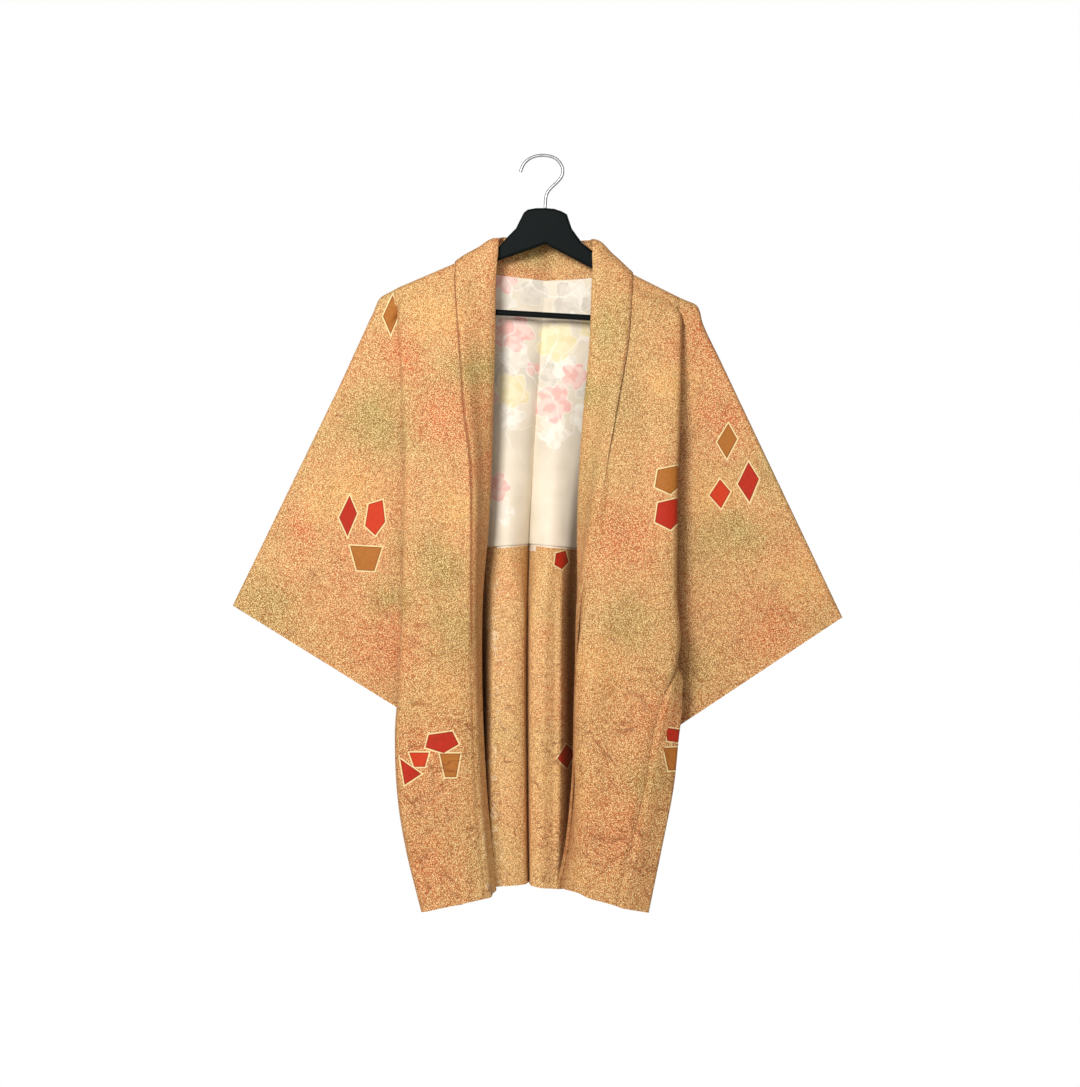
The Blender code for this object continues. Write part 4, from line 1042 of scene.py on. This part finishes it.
# The collar's crown, where it folds outwards, and its free edge behind the neck
COLLAR_CROWN = {
    "left": [
        (0, -66, -1, 930), (1, -78, -1, 804), (2, -84, -2, 677), (3, -83, -3, 563),
        (4, -75, -4, 474), (5, -70, -6, 388), (6, -68, -8, 323), (7, -65, -9, 239),
        (8, -64, -9, 170), (9, -61, -10, 129), (10, -58, 0, 106), (10.5, -56, 12, 103),
        (11, -50, 22, 101), (11.5, -29, 30, 104), (12, -1, 34, 106),
    ],
    "right": [
        (0, 34, 10, 919), (1, 48, 10, 805), (2, 49, 8, 677), (3, 47, 4, 563),
        (4, 44, 0, 474), (5, 46, -5, 398), (6, 51, -8, 323), (7, 58, -9, 239),
        (8, 60, -9, 179), (9, 61, -10, 134), (10, 60, 0, 107), (10.5, 57, 12, 106),
        (11, 50, 22, 105), (11.5, 27, 30, 105), (12, -1, 34, 106),
    ],
}
COLLAR_EDGE_BACK = {
    "left": [(10.5, -115, 13, 139), (11, -105, 24, 149), (11.5, -60, 35, 157), (12, -1, 42, 160)],
    "right": [(10.5, 111, 13, 149), (11, 96, 24, 154), (11.5, 58, 35, 158), (12, -1, 42, 160)],
}
COLLAR_LAP = 3.0  # how far the folded half reaches past the seam
COLLAR_LIFT = 4.0  # how far it lies above the cloth it covers
LOW_LIFT = 3.0  # the same near the hem, where it is pressed flat
LIFT_RISES = (4, 5)  # the stations between which it grows from one to the other
CROWN_BEND = (2.5, 0.6)  # the crown's rounding: back from its top, and past it
KNEE_LIFT = 1.1  # of the lift, where the folded half turns over the seam
KNEE_SHARE = 0.92  # of the folded half, where it turns behind the neck
crown = lines(COLLAR_CROWN)


def collar_lift(side, station):
    """Up the collar from its sewn edge, and out from it and from the cloth beside it."""
    here = seam(side, station)
    along = seam(side, station + 0.05) - seam(side, station - 0.05)
    rise = unit(crown[side](station) - here)
    beside = unit(body_row(side, station)[1] - here)
    if station > RIDGE:
        beside = -rise
    out = OUTWARD[side]
    return rise, beside, -out * unit(np.cross(along, rise)), out * unit(np.cross(along, beside))


def lapped_edge(side, station):
    """The collar's free edge where it lies just over the seam."""
    lap, up = collar_lift(side, station)[1::2]
    height = float(np.interp(station, LIFT_RISES, (LOW_LIFT, COLLAR_LIFT)))
    return seam(side, station) + lap * COLLAR_LAP + up * height


collar_edge_back = {
    side: line([(RIDGE, *lapped_edge(side, RIDGE)), *COLLAR_EDGE_BACK[side]])
    for side in SIDES
}


def collar_row(side, station):
    """One section of the folded collar: sewn edge, crown, free edge."""
    sewn, top = seam(side, station), crown[side](station)
    rise, _, lift, up = collar_lift(side, station)
    high = top + lift * COLLAR_LIFT
    if station <= RIDGE:
        free = lapped_edge(side, station)
        knee = sewn + unit(lift + up) * COLLAR_LIFT * KNEE_LIFT
    else:
        free = collar_edge_back[side](station)
        knee = between(high, free, KNEE_SHARE)
    down = unit(knee - high)
    back, past = CROWN_BEND
    return [
        sewn,
        between(sewn, top, 0.5),
        top - rise * back,
        between(top, high, 0.5) + rise * past,
        high + down * back,
        between(high, knee, 0.5),
        knee,
        free,
    ]


# The columns across the band over which its painted shades and its pressing come in
FACE_SHADED = (25, 29)
EDGE_SHADED = (46, 48)
EDGE_PRESSED = (38, 47)
PRESSED_TO = (330, 210)  # the drops between which the pressing grows, upwards
DUSK_FADES = 60  # the drop over which a shade comes and goes
NECK_DUSK = 0.3  # on the last rows, behind the neck
for side in SIDES:
    places = fine_stations(0, NECK_CENTRE)
    grid = to_space(smooth_across([collar_row(side, s) for s in places], COLLAR_STEPS))
    columns, drop = np.arange(grid.shape[1]), drop_of(grid)
    # Painted shade on the band: on its turned-in face, along its free edge and behind the neck
    start, end, deep = COLLAR_DUSK[side]
    dusk = deep * grow(columns, *FACE_SHADED) * grow(drop, start, start + DUSK_FADES)
    dusk = dusk * grow(drop, end, end - DUSK_FADES)
    deep, end = EDGE_SHADOW_LINE[side]
    edge = deep * grow(columns, *EDGE_SHADED) * grow(drop, end, end - DUSK_FADES)
    dusk = np.maximum(dusk, edge)
    dusk[-2:] = np.maximum(dusk[-2:], NECK_DUSK)
    sunk = grow(columns, *EDGE_PRESSED) ** 2 * grow(drop, *PRESSED_TO) * EDGE_SUNK
    grid = grid - cloth_normals(grid, side) * sunk[..., None] * MM
    band = shell(f"collar_band_{side}", side, grid, COLLAR_CLOTH, (PLAIN, PLAIN), marks=(dusk, dusk))
    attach(band, "root")
    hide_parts(f"collar_{side}")

# ---------------------------------------------------------------------------
# The sleeves: wide flat bags of the same silk, folded along the top, sewn to
# the body round the armhole, hemmed at the open cuff and rounded below.
# ---------------------------------------------------------------------------
# The sleeve's bottom fold, from the underarm to the cuff, by share of the sleeve
SLEEVE_TIP = {"left": (-396, 0, 570), "right": (377, 0, 585)}
SLEEVE_FOOT = {
    "left": [(0, -91, 0, 382.5), (0.06, -97, 0, 407), (0.5, -117, 0, 563), (1, -122, 0, 740)],
    "right": [
        (0, 83, 0, 409.5), (0.08, 93, 0, 436), (0.25, 105, 0, 493), (0.5, 124, 0, 572),
        (0.84, 142, 0, 682), (1, 151, 0, 735),
    ],
}
sleeve_foot = lines(SLEEVE_FOOT)
SLEEVE_CLOTH = 1.3
SLEEVE_LENGTHS = 84  # from the armhole to the cuff
HALF_ROUND = 40  # columns from the top fold to the underarm, crowded a little at the top
CROWDING = 1.15
FOOT_ROUND = 0.25  # of the way from the bottom fold back to the last of them
ROOT = 0.08  # of the sleeve, over which its foot leaves the underarm
# The creases fade over these shares of the sleeve, and at the cuff so much is left
ARMHOLE_FADE = 0.06
CUFF_FADE = 0.03
CUFF_LEFT = 0.15
ACROSS_AND_DOWN = np.array([1, 0, 1])


def sleeve_point(side, along, station):
    """A point of the sleeve: along from armhole to cuff, in line with a station."""
    top, low = front_edge[side](RIDGE), front_edge[side](UNDERARM)
    edge = (front_edge if station <= RIDGE else back_edge)[side](station)
    span = (low - top) * ACROSS_AND_DOWN
    down = float(np.dot(edge - top, span) / np.dot(span, span))
    crest = between(top, np.array(SLEEVE_TIP[side], dtype=float), along)
    foot = sleeve_foot[side](along)
    # at the armhole the sleeve follows the body's own edge
    bend = (edge - between(top, low, down)) * ACROSS_AND_DOWN
    start = (low - sleeve_foot[side](0)) * ACROSS_AND_DOWN * down * max(0.0, 1 - along / ROOT)
    return bent(crest, foot, down, edge[1]) + bend * (1 - along) + start


# The painted shade beside the front's fold over the sleeve: from this |X|, its reach, how deep it is
FOLD_SHADE = {"left": (177, 5.0, 0.5), "right": (168, 12.0, 0.6)}
SLEEVE_CREASES = {
    "left": [
        (-262, 330, -330, 560, 12, 1.3), (-230, 380, -250, 620, 13, -1.4),
        (-190, 400, -180, 650, 12, 1.3), (-160, 520, -250, 640, 10, -1.0),
        (-220, 350, -150, 400, 8, 1.0), (-350, 540, -290, 600, 9, -0.9),
        (-250, 300, -226, 318, 2.6, -1.6), (-214, 560, -196, 590, 2.6, -1.2),
        (-300, 520, -284, 548, 2.6, -1.1),
    ],
    "right": [
        (250, 350, 320, 570, 12, 1.3), (220, 400, 240, 640, 13, -1.4),
        (190, 420, 175, 680, 12, 1.3), (170, 540, 240, 640, 10, -1.0),
        (205, 370, 150, 420, 8, 1.0), (335, 560, 270, 620, 9, -0.9),
        (216, 334, 240, 318, 2.6, -1.6), (196, 600, 214, 574, 2.6, -1.2),
        (286, 560, 300, 536, 2.6, -1.1),
    ],
}
for side in SIDES:
    down = [
        RIDGE - (k / HALF_ROUND) ** CROWDING * (RIDGE - UNDERARM)
        for k in range(1, HALF_ROUND + 1)
    ]
    up = [2 * RIDGE - station for station in down[::-1]]
    rows = []
    for i in range(SLEEVE_LENGTHS + 1):
        along = i / SLEEVE_LENGTHS
        around = [sleeve_point(side, along, station) for station in [RIDGE, *down]]
        foot = sleeve_foot[side](along)
        foot = between(foot, around[-1] * ACROSS_AND_DOWN, FOOT_ROUND)
        around += [foot, *[sleeve_point(side, along, station) for station in up]]
        rows.append(around)
    grid = to_space(rows)
    normal = cloth_normals(grid, side, loop=True)
    share = np.linspace(0, 1, SLEEVE_LENGTHS + 1)[:, None]
    held = grow(share, 0, ARMHOLE_FADE) * np.clip((1 - share) / CUFF_FADE + CUFF_LEFT, 0, 1)
    around = np.arange(grid.shape[1])
    front_half = (around > 2) & (around < HALF_ROUND - 1)
    back_half = (around > HALF_ROUND + 2) & (around < 2 * HALF_ROUND - 1)
    fold, reach, depth = FOLD_SHADE[side]
    past = np.clip(np.abs(grid[..., 0]) / MM - fold, 0, None)
    marks = depth * np.exp(-past / reach) * front_half
    grid = crease(grid, normal, SLEEVE_CREASES[side], held * front_half, marks)
    grid = crease(grid, normal, SLEEVE_CREASES[side], -held * back_half, marks)
    layers = (np.where(around < HALF_ROUND, SLEEVE_LAYER, PLAIN)[None, :], PLAIN)
    marks = (marks, marks)
    sleeve = shell(f"sleeve_bag_{side}", side, grid, SLEEVE_CLOTH, layers, loop=True, marks=marks)
    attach(sleeve, "root")
    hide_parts(f"sleeve_{side}")

# ---------------------------------------------------------------------------
# The gussets: narrow panels of the same silk let in between front and back,
# from the underarm to the hem.
# ---------------------------------------------------------------------------
GUSSET_CLOTH = 1.3
GUSSET_STEPS = [5, 5, 5, 5, 5]
# The outer fold of each side gusset
GUSSET_FOLD = {
    "left": [(0, -108, -1, 944), (2, -107, -1, 675), (4, -96, -1, 478), (5, -86, 0, 388)],
    "right": [
        (0, 130, -33, 956), (0.5, 146, -35, 877), (1, 161, -36, 800), (1.5, 168, -34, 735),
        (1.8, 172, -34, 702), (2, 172, -33, 684), (2.25, 171, -29, 655), (2.5, 138, -16, 628),
        (3, 112, -7, 571), (4, 94, -3, 493), (5, 79, 0, 415),
    ],
}
GUSSET_TOP = 4.75  # the station of its tip, under the arm
GUSSET_SAG = 6.0  # how far the right one, behind its fold, hangs inwards
gusset_fold = lines(GUSSET_FOLD)


def gusset_row(side, station):
    """One section of the side gusset, from the front's side seam to the back's."""
    start = front_edge[side](station)
    end = back_edge[side](2 * RIDGE - station)
    fold = gusset_fold[side](station)
    sag = np.array([-OUTWARD[side] * GUSSET_SAG, 0, 0]) if side == "right" else 0
    return [
        start,
        between(start, fold, 0.5),
        fold,
        between(fold, end, 0.33) + sag,
        between(fold, end, 0.67) + sag,
        end,
    ]


for side in SIDES:
    places = fine_stations(0, GUSSET_TOP)
    grid = to_space(smooth_across([gusset_row(side, s) for s in places], GUSSET_STEPS))
    panel = shell(f"gusset_panel_{side}", side, grid, GUSSET_CLOTH, (GUSSET_LAYER, PLAIN))
    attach(panel, "root")
    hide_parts(f"gusset_{side}")

# ---------------------------------------------------------------------------
# The lining of the upper back: smooth cream silk with pale blossoms, felled to
# the neck seam and left open above the waist, where the outer silk turns up.
# ---------------------------------------------------------------------------
LINING_CLOTH = 0.9
LINING_OFF = 1.9  # from the middle of the silk it lines to its own
LINING_TOP = 11
LINING_END = 16.2  # the station of its lower edge
LINING_STEPS = [4, 6, 8, 8, 8]
for side in SIDES:
    places = fine_stations(LINING_TOP, LINING_END)
    rows = [back_row(side, s)[:len(LINING_STEPS) + 1] for s in places]
    grid = to_space(smooth_across(rows, LINING_STEPS))
    grid = grid - cloth_normals(grid, side) * LINING_OFF * MM
    inner = np.ones((grid.shape[0] - 1, grid.shape[1] - 1), dtype=np.int32)
    silk_sheet = shell(f"back_lining_{side}", side, grid, LINING_CLOTH, (PLAIN, PLAIN), inner)
    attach(silk_sheet, "root")
    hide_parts(f"lining_{side}")

# ---------------------------------------------------------------------------
# The hanger: arms, neck and trouser bar moulded in one piece of black plastic.
# ---------------------------------------------------------------------------
def moulded_plastic():
    """Black plastic, faintly mottled, with the fine grain of its mould."""
    dye = Dye("black moulded plastic")
    mottle = dye.noise(60.0, 3.0, 0.6)
    tint = dye.ramp(mottle, [(0.3, colour(6, 13, 13)), (0.7, colour(11, 18, 18))])
    grain = dye.noise(900.0, 2.0, 0.6)
    dye.give({"Specular IOR Level": 0.07})
    return dye.finish(tint, dye.spread(mottle, 0.3, 0.7, 0.36, 0.5), grain, 0.05, 0.0003)


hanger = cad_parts["hanger"]
hanger.data.materials.clear()
hanger.data.materials.append(moulded_plastic())

# ---------------------------------------------------------------------------
# The hook: bent steel wire, plated, that turns in the hanger's neck.
# ---------------------------------------------------------------------------
# The wire's radius, and the middle of its path, across and drop
HOOK_WIRE = 2.0
HOOK_PATH = [
    (-31, 19), (-29.5, 14), (-27, 9.2), (-23.5, 5), (-19, 1.8), (-14, -0.4), (-9, -1.6),
    (-4, -2), (2, -1.8), (9, -0.4), (14.5, 2.4), (19, 7), (22, 12.5), (23, 18), (21.8, 24),
    (18.5, 29), (13.5, 34), (8, 39), (4, 43.5), (1.6, 49), (0.6, 56), (0.4, 64.6),
]


def plated_wire():
    """Drawn steel under a bright plating, with painted shade where it turns away from view."""
    dye = Dye("plated steel wire")
    dye.give({"Metallic": 0.75})
    drawn = dye.noise(240.0, 2.0, 0.6, stretch=(1.0, 1.0, 0.2))
    # painted shade towards the wire's rims, where it faces away
    edge = dye.node("ShaderNodeLayerWeight", {"Blend": 0.45}).outputs["Facing"]
    bright = dye.ramp(drawn, [(0.3, colour(168, 169, 172)), (0.7, colour(190, 191, 194))])
    tint = dye.mix(dye.spread(edge, 0.25, 0.85), bright, colour(92, 93, 98))
    return dye.finish(tint, dye.spread(drawn, 0.3, 0.7, 0.3, 0.42), drawn, 0.05, 0.0002)


curve = bpy.data.curves.new("hook_wire", "CURVE")
curve.dimensions = "3D"
curve.bevel_depth = HOOK_WIRE * MM
curve.bevel_resolution = 6
curve.resolution_u = 6
curve.use_fill_caps = True
spline = curve.splines.new("NURBS")
spline.points.add(len(HOOK_PATH) - 1)
for point, (across, drop) in zip(spline.points, HOOK_PATH):
    point.co = (across * MM, 0, -drop * MM, 1)
spline.use_endpoint_u = True
spline.order_u = 3
hook = put("hook_wire", curve)
curve.materials.append(plated_wire())
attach(hook, "root")
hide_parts("hanger_hook")

# ---------------------------------------------------------------------------
# The room: a pale floor well below the hem, soft light, and the camera.
# ---------------------------------------------------------------------------
FLOOR_Z = -1.45
CAMERA = (-0.00635, -4.0, -0.491)
FRAME_WIDTH = 1.3716  # of the view at the jacket
SENSOR = 36
ROOM_LIGHT = 0.20
ROOM_COLOUR = (1.0, 0.80, 0.62, 1.0)
floor_dye = Dye("pale floor")
pale = floor_dye.ramp(
    floor_dye.noise(3.0), [(0.4, colour(240, 240, 240)), (0.6, colour(244, 244, 243))]
)
floor_material = floor_dye.finish(pale, 0.9)
floor_mesh = bpy.data.meshes.new("floor")
floor_mesh.from_pydata(
    [(-4, -4.5, FLOOR_Z), (4, -4.5, FLOOR_Z), (4, 1.1, FLOOR_Z), (-4, 1.1, FLOOR_Z)],
    [], [(0, 1, 2, 3)],
)
floor_mesh.materials.append(floor_material)
floor = put("floor", floor_mesh)

world = bpy.data.worlds.new("white room")
bpy.context.scene.world = world
world.use_nodes = True
room = world.node_tree
backdrop = room.nodes["Background"]
seen = room.nodes.new("ShaderNodeLightPath").outputs["Is Camera Ray"]
walls = room.nodes.new("ShaderNodeValToRGB")
walls.color_ramp.elements[0].color = ROOM_COLOUR
walls.color_ramp.elements[1].color = (1.0, 1.0, 1.0, 1.0)
room.links.new(seen, walls.inputs[0])
room.links.new(walls.outputs["Color"], backdrop.inputs["Color"])
brightness = room.nodes.new("ShaderNodeMapRange")
brightness.inputs["To Min"].default_value = ROOM_LIGHT
brightness.inputs["To Max"].default_value = 1.0
room.links.new(seen, brightness.inputs["Value"])
room.links.new(brightness.outputs[0], backdrop.inputs["Strength"])


def soft_light(name, place, target, size, watts):
    """A square lamp that faces a target."""
    light = bpy.data.lights.new(name, "AREA")
    light.shape = "SQUARE"
    light.size = size
    light.energy = watts
    lamp = put(name, light)
    lamp.location = place
    run = np.array(target) - np.array(place)
    lamp.rotation_euler = (
        float(np.arctan2(np.hypot(run[0], run[1]), -run[2])), 0,
        float(np.arctan2(run[1], run[0]) - pi / 2),
    )


soft_light("front", (-0.1, -2.6, 0.5), (0, 0, -0.35), 1.0, 8)
soft_light("left window", (-1.0, -2.4, 0.5), (0, 0, -0.35), 0.8, 68)
soft_light("right window", (1.3, -2.2, 0.4), (0, 0, -0.35), 0.9, 3)
soft_light("back wall", (0.6, 2.6, 0.6), (0, 0, -0.45), 1.8, 55)

camera_data = bpy.data.cameras.new("camera")
camera_data.sensor_fit = "HORIZONTAL"
camera_data.sensor_width = SENSOR
camera_data.lens = SENSOR * -CAMERA[1] / FRAME_WIDTH
camera = put("camera", camera_data)
camera.location = CAMERA
camera.rotation_euler = (radians(90), 0, 0)
bpy.context.scene.camera = camera
bpy.context.scene.view_settings.view_transform = "Standard"
